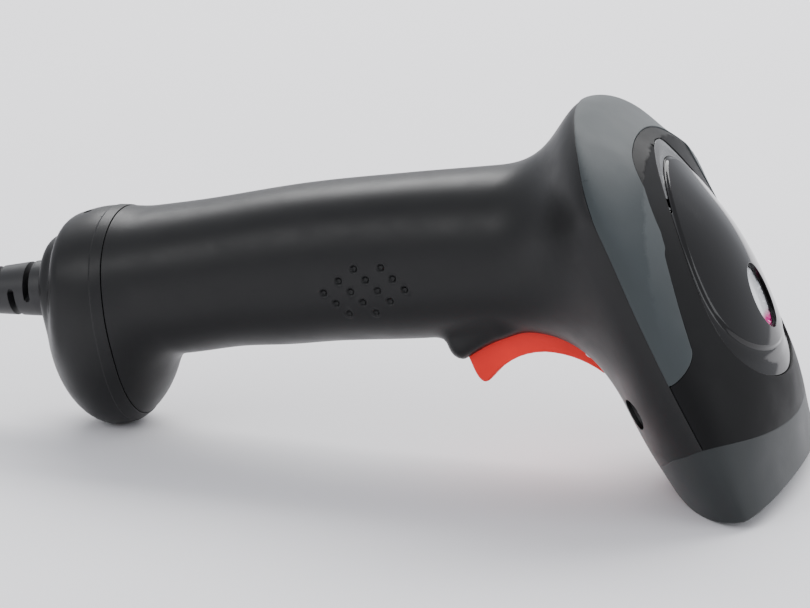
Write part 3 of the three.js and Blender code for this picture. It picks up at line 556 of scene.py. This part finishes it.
# A rim's section, as (reach outwards, depth, degrees that the normal has turned).
ROUND_EDGE = [(0.05, 0.008, 25), (0.09, 0.035, 50), (0.12, 0.08, 72), (0.13, 0.14, 90), (0.13, 0.9, 90)]
BUMPER_EDGE = [(0.2, 0.03, 25), (0.4, 0.14, 50), (0.52, 0.32, 72), (0.55, 0.55, 90), (0.55, 1.6, 90)]


def link(piece, body="scanner"):
    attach(piece, body)
    return piece


def mesh_object(name, points, faces, material, normals):
    """A piece from points of the drawing."""
    data = bpy.data.meshes.new(name)
    data.vertices.add(len(points))
    data.vertices.foreach_set("co", placed(points).ravel())
    data.loops.add(faces.size)
    data.loops.foreach_set("vertex_index", faces.ravel())
    data.polygons.add(len(faces))
    data.polygons.foreach_set("loop_start", np.arange(len(faces)) * faces.shape[1])
    data.update(calc_edges=True)
    data.validate()
    data.shade_smooth()
    data.normals_split_custom_set_from_vertices(turned(unit(normals), REST_PITCH))
    data.materials.append(material)
    return link(add_object(name, data))


def joined_rims(one, other):
    """Triangles between two rims, each an array of directed edges."""
    return [
        np.stack([one[:, 1], one[:, 0], other[:, 0]], -1),
        np.stack([one[:, 1], other[:, 0], other[:, 1]], -1),
    ]


def shell(name, mesh, material, lift=None, wall=1.8, edge=ROUND_EDGE, scale=1.0):
    """A closed shell: the outer surface, rounded edges along its rims, and an inner surface."""
    points, triangles = mesh
    field = body_field if lift is None else (lambda p: body_field(p) - lift(p))
    outer = points if lift is None else onto(field, points, 3)
    normals = unit(gradient(field, outer))
    directed = triangles[:, [[0, 1], [1, 2], [2, 0]]].reshape(-1, 2)
    count = len(points)
    _, which = edge_table(triangles)
    single = np.bincount(which.ravel())[which.ravel()] == 1
    rim = directed[single]
    along = unit(outer[rim[:, 1]] - outer[rim[:, 0]])
    sideways = np.cross(along, normals[rim[:, 0]])
    out = np.zeros_like(outer)
    np.add.at(out, rim[:, 0], sideways)
    np.add.at(out, rim[:, 1], sideways)
    out -= normals * (out * normals).sum(-1, keepdims=True)
    out = unit(out)
    rim_points, local = np.unique(rim, return_inverse=True)
    local = local.reshape(-1, 2)
    all_points, all_normals, faces = [outer], [normals], [triangles]
    o, n, base = out[rim_points], normals[rim_points], outer[rim_points]
    previous = rim
    start = count
    for reach, down, degrees in edge:
        a = math.radians(degrees)
        all_points.append(base + scale * reach * o - scale * down * n)
        all_normals.append(n * math.cos(a) + o * math.sin(a))
        ring = local + start
        faces += joined_rims(previous, ring)
        previous = ring
        start += len(rim_points)
    all_points.append(outer - wall * normals)
    all_normals.append(-normals)
    faces += [*joined_rims(previous, rim + start), (triangles + start)[:, ::-1]]
    return mesh_object(
        name, np.vstack(all_points), np.concatenate(faces), material, np.vstack(all_normals)
    )


# ---- Parting lines, as functions that are below 0 on the piece's side --------------------------

ROOM = SEAM + 0.13  # from a parting line to where a piece's edge starts to round


def below(f):
    even_f = even(f)
    return lambda p: even_f(p) + ROOM


def flip(f):
    return lambda p: -f(p)


def cover_line(p):
    t, h = head_coords(p)
    return (crease(h) - t) * 0.99


def nose_line(p):
    t, h = head_coords(p)
    return (h - nose_seam(t)) / np.hypot(1, 0.084 * np.maximum(t - 3.5, 0) + 0.24 * (t < -3))


RIM = {"t": 2, "above": 17.0, "below": 15.0, "reach": 11.0}


def rim_line(p):
    """The bumper's rim: cheeks that reach past the window's plane."""
    t, h = head_coords(p)
    ahead = window_plane(t) - h
    size = np.where(t > RIM["t"], RIM["above"], RIM["below"])
    cheek = superellipse([(t - RIM["t"], size), (np.maximum(ahead, 0), RIM["reach"])], 2.4)
    return np.minimum(cheek, ahead * 0.96)


def cap_line(p):
    return (p[:, 0] - cap_parting(p[:, 2])) * 0.99


def ellipse(shape, grow=0.0):
    """One of the crown's ovals, its half length and half width grown by some millimetres."""
    centre, length, width, narrowing = shape

    def at(p):
        _, h = head_coords(p)
        share = np.maximum(1 - narrowing * (h - centre), 0.2)
        return superellipse([(h - centre, length + grow), (p[:, 1] / share, width + grow)], 2)

    return at


REAR_FROM = 48  # the h from which the hard cover ends at an oval inside the band


def band_right(p):
    """The soft band's upper edge: round at its tip, straight along the side, oval round the rear."""
    t, h = head_coords(p)
    centre = BAND_TIP["h"] + BAND_TIP["radius"]
    width = band_edge(centre) - crease(centre)
    tip = superellipse([(np.maximum(t - crease(h), 0), width), (centre - h, BAND_TIP["radius"])], 2)
    line = (t - band_edge(h)) * 0.97
    rear = np.maximum(-ellipse(COVER_REAR)(p), REAR_FROM - h)
    return np.where(h > centre, blend(line, rear, 3.0), tip)


def band_line(p):
    return np.maximum(cover_line(p), band_right(p))


def lens_line(p):
    _, h = head_coords(p)
    return np.maximum.reduce([ellipse(PANEL)(p), LENS_FROM - h, -ellipse(DOME, 0.4)(p)])


SLOT = (28.65, 16.35, 9.2, 1)  # the trigger's slot: middle x, half length, half width, corner radius
OUTSIDE = 5.0  # a parting line's value where it doesn't apply


def slot_line(p):
    x, length, width, corner = SLOT
    a, b = np.abs(p[:, 0] - x) - (length - corner), np.abs(p[:, 1]) - (width - corner)
    inside = np.hypot(np.maximum(a, 0), np.maximum(b, 0)) + np.minimum(np.maximum(a, b), 0) - corner
    return np.where(p[:, 2] < 40, inside, OUTSIDE)


def round_hole(centre, radius, axis):
    """A round hole's edge, drilled through a point along an axis, near that point only."""
    centre, axis = np.asarray(centre, float), np.asarray(axis, float)

    def at(p):
        d = p - centre
        along = d @ axis
        across = np.linalg.norm(d - along[:, None] * axis, axis=1) - radius
        return np.where(np.abs(along) < 12, across, np.maximum(across, OUTSIDE))

    return at


# ---- Materials, in object coordinates: 1 is a metre, so a scale of 1000 is about a millimetre -----

class Look:
    """A material built on one Principled shader."""

    def __init__(self, name, **sockets):
        self.material = bpy.data.materials.new(name)
        self.material.use_nodes = True
        self.tree = self.material.node_tree
        self.shader = self.tree.nodes["Principled BSDF"]
        self.coords = self.tree.nodes.new("ShaderNodeTexCoord").outputs["Object"]
        for socket, value in sockets.items():
            self.shader.inputs[socket.replace("_", " ")].default_value = value

    def node(self, kind, **inputs):
        made = self.tree.nodes.new(kind)
        for key, value in inputs.items():
            socket = made.inputs[key]
            if isinstance(value, bpy.types.NodeSocket):
                self.tree.links.new(value, socket)
            else:
                socket.default_value = value
        return made

    def noise(self, scale, detail, distortion=0.0):
        made = self.node("ShaderNodeTexNoise", Vector=self.coords, Scale=scale, Detail=detail)
        made.inputs["Distortion"].default_value = distortion
        return made.outputs["Fac"]

    def spread(self, value, low, high, from_low=0.3, from_high=0.7):
        made = self.node("ShaderNodeMapRange", Value=value)
        ends = {"From Min": from_low, "From Max": from_high, "To Min": low, "To Max": high}
        for key, number in ends.items():
            made.inputs[key].default_value = number
        return made.outputs["Result"]

    def colours(self, value, stops):
        made = self.node("ShaderNodeValToRGB", Fac=value)
        ramp = made.color_ramp
        while len(ramp.elements) < len(stops):
            ramp.elements.new(0.5)
        for element, (position, colour) in zip(ramp.elements, stops):
            element.position = position
            element.color = (*colour, 1)
        return made.outputs["Color"]

    def tint(self, colour, scale=70, contrast=0.12):
        """The base colour, clouded a little lighter and darker."""
        dark, light = ([c * (1 + side * contrast) for c in colour] for side in (-1, 1))
        self.link("Base Color", self.colours(self.noise(scale, 4.0), [(0.3, dark), (0.7, light)]))

    def wear(self, low, high, scale=140):
        self.link("Roughness", self.spread(self.noise(scale, 5.0, 0.4), low, high))

    def relief(self, layers):
        """Bumps from (height value, depth in metres, strength) layers."""
        normal = None
        for height, depth, strength in layers:
            made = self.node("ShaderNodeBump", Height=height, Strength=strength, Distance=depth)
            if normal is not None:
                self.tree.links.new(normal, made.inputs["Normal"])
            normal = made.outputs["Normal"]
        self.link("Normal", normal)

    def link(self, socket, value):
        self.tree.links.new(value, self.shader.inputs[socket])


def moulded(name, colour, roughness, grain=3200, depth=0.00003, strength=0.35, **sockets):
    """Injection-moulded plastic with the fine eroded texture of its mould."""
    look = Look(name, **sockets)
    look.tint(colour)
    look.wear(roughness - 0.04, roughness + 0.05)
    look.relief([(look.noise(grain, 3.0), depth, strength), (look.noise(90, 2.0), 0.0001, 0.05)])
    return look.material


def soft_touch(name, colour, roughness=0.62):
    look = Look(name, Sheen_Weight=0.12, Sheen_Roughness=0.5, Specular_IOR_Level=0.42)
    look.tint(colour, 60, 0.07)
    look.wear(roughness - 0.05, roughness + 0.06, 90)
    look.relief([(look.noise(2600, 2.0), 0.00003, 0.3)])
    return look.material


def polished(name, colour, roughness, **sockets):
    look = Look(name, **sockets)
    look.tint(colour, 40, 0.2)
    look.wear(roughness, roughness + 0.05, 60)
    look.relief([(look.noise(45, 1.0), 0.0001, 0.03)])
    return look.material


def metal(name, colour, roughness, brushed=900):
    look = Look(name, Metallic=1.0)
    look.tint(colour, 300, 0.1)
    look.wear(roughness - 0.06, roughness + 0.08, 400)
    look.relief([(look.noise(brushed, 4.0, 1.5), 0.00002, 0.2)])
    return look.material


def clear(name, colour, roughness, weight=0.9):
    look = Look(name, Transmission_Weight=weight, IOR=1.5)
    look.tint(colour, 50, 0.05)
    look.wear(roughness, roughness + 0.04, 80)
    return look.material


def board(name):
    """Solder mask with copper runs under it."""
    look = Look(name, Specular_IOR_Level=0.5)
    cells = look.node("ShaderNodeTexVoronoi", Vector=look.coords, Scale=420.0)
    cells.feature = "DISTANCE_TO_EDGE"
    cells.distance = "EUCLIDEAN"
    run, mask = (0.03, 0.2, 0.07), (0.01, 0.09, 0.03)
    stops = [(0.0, run), (0.05, run), (0.09, mask)]
    look.link("Base Color", look.colours(cells.outputs["Distance"], stops))
    look.wear(0.28, 0.4)
    return look.material


def printed_badge(name):
    """A satin silver disc with a plain pink field towards its lower side."""
    look = Look(name, Metallic=0.0, Coat_Weight=0.4, Coat_Roughness=0.1)
    parts = look.node("ShaderNodeSeparateXYZ", Vector=look.coords)
    border = placed(head_point(BADGE[0] - 2.6, 18.0, -0.8)[None])[0][2]
    edge = look.spread(parts.outputs["Z"], 0, 1, border - 0.0008, border + 0.0008)
    pink, silver = (0.62, 0.03, 0.25), (0.72, 0.73, 0.75)
    look.link("Base Color", look.colours(edge, [(0.0, pink), (1.0, silver)]))
    look.wear(0.22, 0.32)
    return look.material


PLASTIC = (0.0032, 0.0032, 0.0035)
LOOKS = {
    "black_plastic": moulded("moulded_black", PLASTIC, 0.4, Specular_IOR_Level=0.33),
    "soft_grey": soft_touch("band_grey", (0.026, 0.034, 0.0365)),
    "bumper_grey": soft_touch("bumper_grey_rubber", (0.009, 0.0118, 0.0125), 0.56),
    "gloss_black": polished(
        "polished_black", (0.003, 0.0028, 0.003), 0.06, Coat_Weight=0.15, Specular_IOR_Level=0.3
    ),
    "clear_lens": polished("pearl_lens", (0.13, 0.13, 0.13), 0.22, Metallic=0.6, Coat_Weight=0.6),
    "smoked_window": clear("smoked_red", (0.10, 0.02, 0.02), 0.03, 0.85),
    "red_plastic": moulded(
        "moulded_red", (0.86, 0.018, 0.011), 0.46, strength=0.22, Specular_IOR_Level=0.3
    ),
    "silver": printed_badge("badge_print"),
    "steel": metal("plain_steel", (0.42, 0.43, 0.44), 0.28),
    "brass": metal("turned_brass", (0.6, 0.42, 0.15), 0.25),
    "zinc": metal("cast_zinc", (0.34, 0.35, 0.36), 0.45, 2000),
    "board_green": board("solder_mask"),
    "chip_black": moulded("epoxy_black", (0.016, 0.016, 0.018), 0.5),
    "copper": metal("enamelled_copper", (0.55, 0.2, 0.07), 0.3, 3000),
    "mirror_silver": metal("mirror_coat", (0.9, 0.92, 0.93), 0.08),
    "filter_red": clear("filter_glass", (0.4, 0.01, 0.01), 0.03),
    "white_plastic": moulded("moulded_white", (0.72, 0.72, 0.68), 0.4),
    "rubber_black": moulded("cable_jacket", (0.0105, 0.0105, 0.0115), 0.46, 1800, 0.00004, 0.25),
    "clear_plastic": clear("plug_clear", (0.8, 0.83, 0.85), 0.08, 0.8),
    "flex_amber": polished("flex_film", (0.5, 0.17, 0.03), 0.25),
}
# The head's cover reflects less than the housing, which is of the same plastic.
COVER_BLACK = moulded("cover_black", PLASTIC, 0.5, Specular_IOR_Level=0.15)


# ---- Casing ------------------------------------------------------------------------------------

def clipped(mesh, *regions):
    for region in regions:
        mesh = clip(mesh, below(region))
    return mesh


def near(region, reach):
    return lambda p: np.abs(region(p)) - reach


SKIN = net(body_field, (-95, -34, -3), (90, 34, 93), NET_STEP)
SCREW = {"h": 18, "y": 20.5, "hole": 3.5}
LATCH_HOLE = (-79.1, 0, 47)
DIMPLE_FAR = 9.0  # for points that are near no dimple

# Blind dimples in the right side of the handle, in rows that lean with it. Their use is a guess: grip.
DIMPLES = []
for row, count in enumerate((2, 3, 4, 3, 2)):
    down = row - 2
    for i in range(count):
        along = i - (count - 1) / 2
        DIMPLES.append((-8.2 + 6.15 * along - 0.37 * down, 41.05 - 2.63 * down + 0.82 * along))


def dimple_distance(p):
    """Distance from the nearest dimple's centre on the right side of the handle."""
    x, y, z = p.T
    nearest = np.full(len(p), DIMPLE_FAR)
    for cx, cz in DIMPLES:
        nearest = np.minimum(nearest, np.hypot(x - cx, z - cz))
    return np.where(y < 0, nearest, DIMPLE_FAR)


def housing_lift(p):
    """Each dimple's bowl and the slight rim round it."""
    d = dimple_distance(p)
    return -0.62 * smooth((1.0 - d) / 0.75) + 0.05 * smooth(1 - np.abs(d - 1.15) / 0.25)


def make_housing():
    mesh = clipped(SKIN, flip(cover_line), flip(nose_line), flip(cap_line))
    for side in (-1, 1):
        hole = round_hole(head_point(SCREW["h"], -10, side * SCREW["y"]), SCREW["hole"], head_axis())
        mesh = refine(mesh, near(hole, 1.6), 0.45)
        mesh = clipped(mesh, flip(hole))
    mesh = refine(mesh, near(slot_line, 0.8), 0.5)
    mesh = clipped(mesh, flip(slot_line))
    mesh = refine(mesh, lambda p: dimple_distance(p) - 1.6, 0.26)
    return shell("housing_shell", mesh, LOOKS["black_plastic"], housing_lift)


def head_axis():
    return head_point(0, 1) - head_point(0, 0)


def make_cover():
    mesh = clipped(SKIN, cover_line, flip(nose_line))
    mesh = refine(mesh, near(ellipse(PANEL), 0.8), 0.35)
    mesh = clipped(mesh, flip(ellipse(PANEL)))
    mesh = refine(mesh, near(band_line, 0.7), 0.5)
    mesh = clip(mesh, below(flip(band_line)))
    return shell("cover_shell", mesh, COVER_BLACK)


def make_band():
    edge = even(cover_line)
    mesh = clip(SKIN, lambda p: edge(p) + 0.1)
    mesh = refine(mesh, near(band_line, 0.7), 0.5)
    mesh = clipped(mesh, band_right, flip(ellipse(PANEL)))
    lift = lambda p: np.full(len(p), 0.22)
    return shell("band_shell", mesh, LOOKS["soft_grey"], lift, 1.3, scale=1.3)


def make_bumper():
    mesh = clipped(SKIN, nose_line)
    mesh = refine(mesh, near(rim_line, 0.9), 0.5)
    mesh = clip(mesh, lambda p: rim_line(p) + 0.55)
    return shell("bumper_shell", mesh, LOOKS["bumper_grey"], None, 2.9, BUMPER_EDGE)


BOOT = {"radius": 6.35, "taper": 2.55, "taper_from": 3, "taper_over": 29, "end": 32.2}
BOOT_SLOTS = {"count": 7, "first": 4.35, "pitch": 4.0, "half_width": 0.68, "floor": 2.75}
EXIT_HOLE = 6.7


def cap_lift(p):
    """A raised collar beside the parting line."""
    d = cap_line(p)
    return 0.16 * smooth((d + 2.9) / 0.35)


def make_cap():
    mesh = clipped(SKIN, cap_line)
    latch = round_hole(LATCH_HOLE, 1.0, (0, 0, 1))
    exit_axis = handle_point(1, 0, 0) - handle_point(0, 0, 0)
    exit_hole = round_hole(handle_point(0, 0, 0), EXIT_HOLE, exit_axis)
    for hole in (latch, exit_hole):
        mesh = refine(mesh, near(hole, 0.9), 0.3)
        mesh = clipped(mesh, flip(hole))
    mesh = refine(mesh, lambda p: np.abs(cap_line(p) + 2.7) - 0.6, 0.4)
    return shell("cap_shell", mesh, LOOKS["black_plastic"], cap_lift, 2.2)


# ---- Display panel on the top of the head ------------------------------------------------------

def panel_lift(p):
    """A bevelled surround that climbs to the step of the raised dome."""
    d = ellipse(DOME)(p)
    _, h = head_coords(p)
    sunk = -0.1 - 0.35 * smooth((42 - h) / 14)
    return sunk * (1 - 0.6 * smooth((3 - d) / 2.8)) + 0.4 * smooth((0.2 - d) / 0.9)


def make_panel():
    mesh = refine(clipped(SKIN, cover_line), near(ellipse(PANEL), 0.8), 0.35)
    mesh = clipped(mesh, ellipse(PANEL))
    mesh = refine(mesh, near(ellipse(DOME), 2.2), 0.3)
    mesh = refine(mesh, near(lens_line, 0.8), 0.4)
    mesh = clipped(mesh, flip(lens_line))
    mesh = refine(mesh, near(ellipse(BADGE), 0.9), 0.22)
    mesh = clipped(mesh, flip(ellipse(BADGE)))
    return shell("panel_shell", mesh, LOOKS["gloss_black"], panel_lift, 2.2)


def make_lens():
    mesh = refine(clipped(SKIN, cover_line), near(lens_line, 1.0), 0.4)
    mesh = clipped(mesh, lens_line)
    lift = lambda p: -0.15 + 0.2 * smooth(-lens_line(p) / 2.2)
    return shell("lens_crescent", mesh, LOOKS["clear_lens"], lift, 1.6)


def make_badge():
    mesh = refine(clipped(SKIN, cover_line), lambda p: ellipse(BADGE)(p) - 0.4, 0.5)
    mesh = clipped(mesh, ellipse(BADGE, 0.1))
    lift = lambda p: -1.5 + 0.55 * smooth((ellipse(BADGE)(p) + 1.1) / 0.5)
    return shell("badge_disc", mesh, LOOKS["silver"], lift, 0.6)


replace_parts(make_housing(), "main_housing")
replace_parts(make_cover(), "head_cover")
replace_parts(make_band(), "grey_band")
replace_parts(make_bumper(), "nose_bumper")
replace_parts(make_cap(), "end_cap")
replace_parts(make_panel(), "top_panel")
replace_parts(make_lens(), "indicator_lens")
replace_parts(make_badge(), "badge")


# ---- Pieces from stacked rings -----------------------------------------------------------------

def ring_stack(name, rings, slot_name, body="scanner", looped=False, sharp=38, scale=MM):
    """A piece from rings of points, drawing millimetres unless scale is 1, capped or looped."""
    mesh = bmesh.new()
    rows = []
    for ring in rings:
        points = placed(ring) if scale == MM else np.asarray(ring)
        rows.append([mesh.verts.new(point) for point in points])
    for low, high in zip(rows, rows[1:] + (rows[:1] if looped else [])):
        for i in range(len(low)):
            j = (i + 1) % len(low)
            mesh.faces.new((low[i], low[j], high[j], high[i]))
    if not looped:
        mesh.faces.new(rows[0][::-1])
        mesh.faces.new(rows[-1])
    bmesh.ops.recalc_face_normals(mesh, faces=mesh.faces)
    for face in mesh.faces:
        face.smooth = True
    for edge in mesh.edges:
        edge.smooth = edge.calc_face_angle(0) < math.radians(sharp)
    data = bpy.data.meshes.new(name)
    mesh.to_mesh(data)
    mesh.free()
    data.materials.append(LOOKS[slot_name])
    return link(add_object(name, data), body)


def inset(outline, distance):
    """A closed outline of points, counterclockwise, moved inwards."""
    before, after = np.roll(outline, 1, 0), np.roll(outline, -1, 0)
    a, b = unit(outline - before), unit(after - outline)
    normal = unit(np.stack([-(a + b)[:, 1], (a + b)[:, 0]], -1))
    turn = np.maximum((normal * np.stack([-a[:, 1], a[:, 0]], -1)).sum(-1, keepdims=True), 0.6)
    return outline + normal * distance / turn


def curve_points(start, bends):
    """Points along quadratic curves: each bend is (control, end), or (end,) for a line."""
    points = [start]
    for bend in bends:
        here, end = np.array(points[-1]), np.array(bend[-1])
        control = np.array(bend[0]) if len(bend) == 2 else (here + end) / 2
        count = 7 if len(bend) == 2 else 3
        for i in range(1, count + 1):
            u = i / count
            points.append((1 - u) ** 2 * here + 2 * u * (1 - u) * control + u * u * end)
    return np.array(points)


def bisect(place, low, high, depth, rounds):
    """How far from low towards high place(distance) stays more than depth inside the casing."""
    for _ in range(rounds):
        middle = (low + high) / 2
        inside = body_field(place(middle)) < -depth
        low, high = np.where(inside, middle, low), np.where(inside, high, middle)
    return low


TRIGGER = {"half_width": 8.8, "rounding": 0.6}


def make_trigger():
    outline = curve_points((13, 26.6), [
        ((14.3, 23.8),), ((16.4, 19.2), (18.4, 21.6)), ((23, 28.2), (30.5, 28.9)),
        ((37.5, 29.2), (43.6, 25.4)), ((44.9, 27.6), (44.7, 30.6)), ((44.4, 34.6), (40.8, 34.9)),
        ((24, 35.9),), ((6.8, 36.2),), ((6.8, 34.8),), ((13, 34.6),),
    ])
    rings = []
    for side in (-1, 1):
        ends = []
        for degrees in (0, 22, 45, 68, 90):
            a = math.radians(degrees)
            flat = inset(outline, TRIGGER["rounding"] * (1 - math.sin(a)))
            y = side * (TRIGGER["half_width"] - TRIGGER["rounding"] * (1 - math.cos(a)))
            ends.append(np.insert(flat, 1, y, axis=1))
        rings += ends if side < 0 else ends[::-1]
    return ring_stack("trigger_blade", rings, "red_plastic", "trigger")


def make_window():
    """A flat plate that fits inside the bumper, its outline found on the casing's field."""
    slope = unit(np.array([-0.3, 1.0]))  # h and t along the window's plane
    angles = np.linspace(0, 2 * math.pi, 96, endpoint=False)
    rays = np.stack([np.cos(angles), np.sin(angles)], -1)

    def at(reach, depth):
        t = 1.5 + reach * rays[:, 1] * slope[1]
        return head_point(window_plane(t) + depth, t, reach * rays[:, 0])

    reach = bisect(lambda r: at(r, 0), np.full(96, 2.0), np.full(96, 40.0), 3.2, 24)
    steps = [(0.5, -0.5), (0.15, -0.42), (0, -0.2), (0, 0.8), (0.2, 1.0)]  # inset and depth
    return ring_stack("window_plate", [at(reach - cut, depth) for cut, depth in steps], "smoked_window")


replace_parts(make_trigger(), "trigger")
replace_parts(make_window(), "scan_window")


# ---- Screw wells, boot, tie and plug -----------------------------------------------------------

def make_well(side):
    """The tube from a screw hole in the underside down to the screw's seat."""
    angles = np.linspace(0, 2 * math.pi, 40, endpoint=False)
    outer, bore, inner = 4.4, 1.9, 3.55
    top, seat = -3.2, -4.0

    def ring(radius, depth=None):
        """A ring at a depth, or where the tube meets the casing."""
        h = SCREW["h"] + radius * np.cos(angles)
        y = side * SCREW["y"] + radius * np.sin(angles)
        if depth is None:
            start, end = np.full(40, seat), np.full(40, -26.0)
            depth = bisect(lambda t: head_point(h, t, y), start, end, 0.9, 20)
        return head_point(h, depth, y)

    rings = [
        ring(outer), ring(outer, top), ring(bore, top), ring(bore, seat), ring(inner, seat), ring(inner),
    ]
    name = "screw_well_right" if side < 0 else "screw_well_left"
    return ring_stack(name, rings, "black_plastic", looped=True)


def boot_radius(along, angle):
    """The boot tapers to the cord, cut by slots that open upwards and downwards in turn."""
    tapered = min(max((-along - BOOT["taper_from"]) / BOOT["taper_over"], 0), 1)
    base = BOOT["radius"] - BOOT["taper"] * tapered
    cut = 0.0
    for i in range(BOOT_SLOTS["count"]):
        opening = math.pi / 2 if i % 2 == 0 else -math.pi / 2
        turn = np.abs((angle - opening + math.pi) % (2 * math.pi) - math.pi) * base
        reach = np.maximum(turn - (1.78 * base - 0.7), 0)
        middle = along + BOOT_SLOTS["first"] + BOOT_SLOTS["pitch"] * i
        d = np.hypot(middle, reach) - BOOT_SLOTS["half_width"]
        cut = np.maximum(cut, smooth(0.5 - d / 0.16))
    end = smooth((-along - BOOT["end"]) / 0.8) * 0.5
    return base - cut * (base - max(BOOT_SLOTS["floor"], 0.6 * base)) - end


def make_boot():
    angles = np.linspace(0, 2 * math.pi, 96, endpoint=False)
    rings = []
    for along in [4.5, 3.0, *np.arange(1.0, -32.9, -0.17), -33.0]:
        radius = boot_radius(along, angles)
        rings.append(handle_point(along, radius * np.cos(angles), radius * np.sin(angles)))
    return ring_stack("boot", rings, "rubber_black", sharp=60)


def rounded(count):
    """(side, side, cosine, sine) at each point of a rectangle's four round corners."""
    for one, two, start in ((1, 1, 0), (-1, 1, 90), (-1, -1, 180), (1, -1, 270)):
        for i in range(count):
            a = math.radians(start + 90 * i / (count - 1))
            yield one, two, math.cos(a), math.sin(a)


def box_ring(x, half_width, low, high, round_by, y):
    """A rounded rectangle across x, in metres."""
    middle = (low + high) / 2
    return [
        (
            x,
            y + sy * (half_width - round_by) + round_by * c,
            middle + sz * ((high - low) / 2 - round_by) + round_by * s,
        )
        for sy, sz, c, s in rounded(5)
    ]


def make_plug():
    low, high = box_of("usb_plug_body")
    y = (low[1] + high[1]) / 2
    length, half = high[0] - low[0], (high[1] - low[1]) / 2
    shape = [  # shares of the length, the half width and the half height
        (0.0, 0.40, 0.52), (0.015, 0.44, 0.60), (0.10, 0.47, 0.66), (0.16, 0.5, 0.7), (0.17, 0.42, 0.6),
        (0.22, 0.42, 0.6), (0.23, 0.55, 0.76), (0.3, 0.64, 0.84), (0.4, 0.84, 0.95), (0.5, 0.96, 1.0),
        (0.62, 1.0, 1.0), (0.95, 1.0, 1.0), (0.985, 0.97, 0.97), (1.0, 0.9, 0.9),
    ]
    rings = []
    middle, tall = (low[2] + high[2]) / 2, (high[2] - low[2]) / 2
    for share, wide, deep in shape:
        rings.append(box_ring(
            low[0] + share * length, half * wide, middle - tall * deep, middle + tall * deep,
            0.9 * min(half * wide, tall * deep) if share < 0.3 else 0.0017, y,
        ))
    return ring_stack("plug_grip", rings, "rubber_black", scale=1)


def make_tie():
    low, high = box_of("cord_tie")

    def ring(shrink, y, round_by):
        cx, cz = (low[0] + high[0]) / 2, (low[2] + high[2]) / 2
        rx, rz = (high[0] - low[0]) / 2 - shrink, (high[2] - low[2]) / 2 - shrink
        return [
            (cx + sx * (rx - round_by) + round_by * c, y, cz + sz * (rz - round_by) + round_by * s)
            for sx, sz, c, s in rounded(6)
        ]

    width = 0.0036
    rings = [
        ring(0.0001, -width, 0.0022), ring(0, -width + 0.0002, 0.0023), ring(0, width - 0.0002, 0.0023),
        ring(0.0001, width, 0.0022), ring(0.0007, width, 0.0016), ring(0.0007, -width, 0.0016),
    ]
    return ring_stack("hook_tie", rings, "rubber_black", looped=True, scale=1)


for side in (-1, 1):
    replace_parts(make_well(side), "main_housing")
boot = make_boot()
plug = make_plug()
tie = make_tie()
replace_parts(boot, "strain_relief")
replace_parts(plug, "usb_plug_body")
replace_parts(tie, "cord_tie")
cable.data.materials.append(LOOKS["rubber_black"])


# ---- Materials of the CAD nodes that stay ------------------------------------------------------

for part in RECORD["subparts"]:
    mesh = NODES[part["node"]].data
    mesh.materials.clear()
    mesh.materials.append(LOOKS[part["material_slot"]])


# ---- Floor, light and the end ------------------------------------------------------------------

def make_floor():
    data = bpy.data.meshes.new("floor")
    size = 6  # metres from the middle to an edge
    corners = [(-size, -size, 0), (size, -size, 0), (size, size, 0), (-size, size, 0)]
    data.from_pydata(corners, [], [(0, 1, 2, 3)])
    look = Look("paper", Roughness=0.7, Specular_IOR_Level=0.25)
    stops = [(0.35, (0.87, 0.86, 0.875)), (0.65, (0.89, 0.88, 0.895))]
    look.link("Base Color", look.colours(look.noise(3.0, 1.0), stops))
    look.relief([(look.noise(1500, 3.0), 0.00003, 0.1)])
    data.materials.append(look.material)
    add_object("floor", data)


def softbox(name, place, target, size, power, colour=(1, 1, 1)):
    """A rectangular lamp: places and sizes in metres, power in watts."""
    data = bpy.data.lights.new(name, "AREA")
    data.shape = "RECTANGLE"
    data.size, data.size_y = size
    data.energy = power
    data.color = colour
    light = add_object(name, data)
    light.location = place
    light.rotation_euler = (Vector(target) - Vector(place)).to_track_quat("-Z", "Y").to_euler()


def make_world():
    world = bpy.data.worlds.new("room")
    world.use_nodes = True
    background = world.node_tree.nodes["Background"]
    background.inputs["Color"].default_value = (0.92, 0.94, 1.0, 1)
    background.inputs["Strength"].default_value = 0.9
    bpy.context.scene.world = world


make_floor()
make_world()
softbox("overhead", (0.0, 0.85, 0.95), (0, 0, 0.03), (1.7, 0.7), 26.0)
softbox("front_fill", (-0.6, -0.9, 0.7), (0, 0, 0.04), (0.7, 0.5), 3.0)
softbox("right_window", (0.9, -0.1, 0.45), (0.05, 0, 0.05), (0.6, 0.5), 2.5, (0.95, 0.97, 1.0))

bpy.context.view_layer.update()
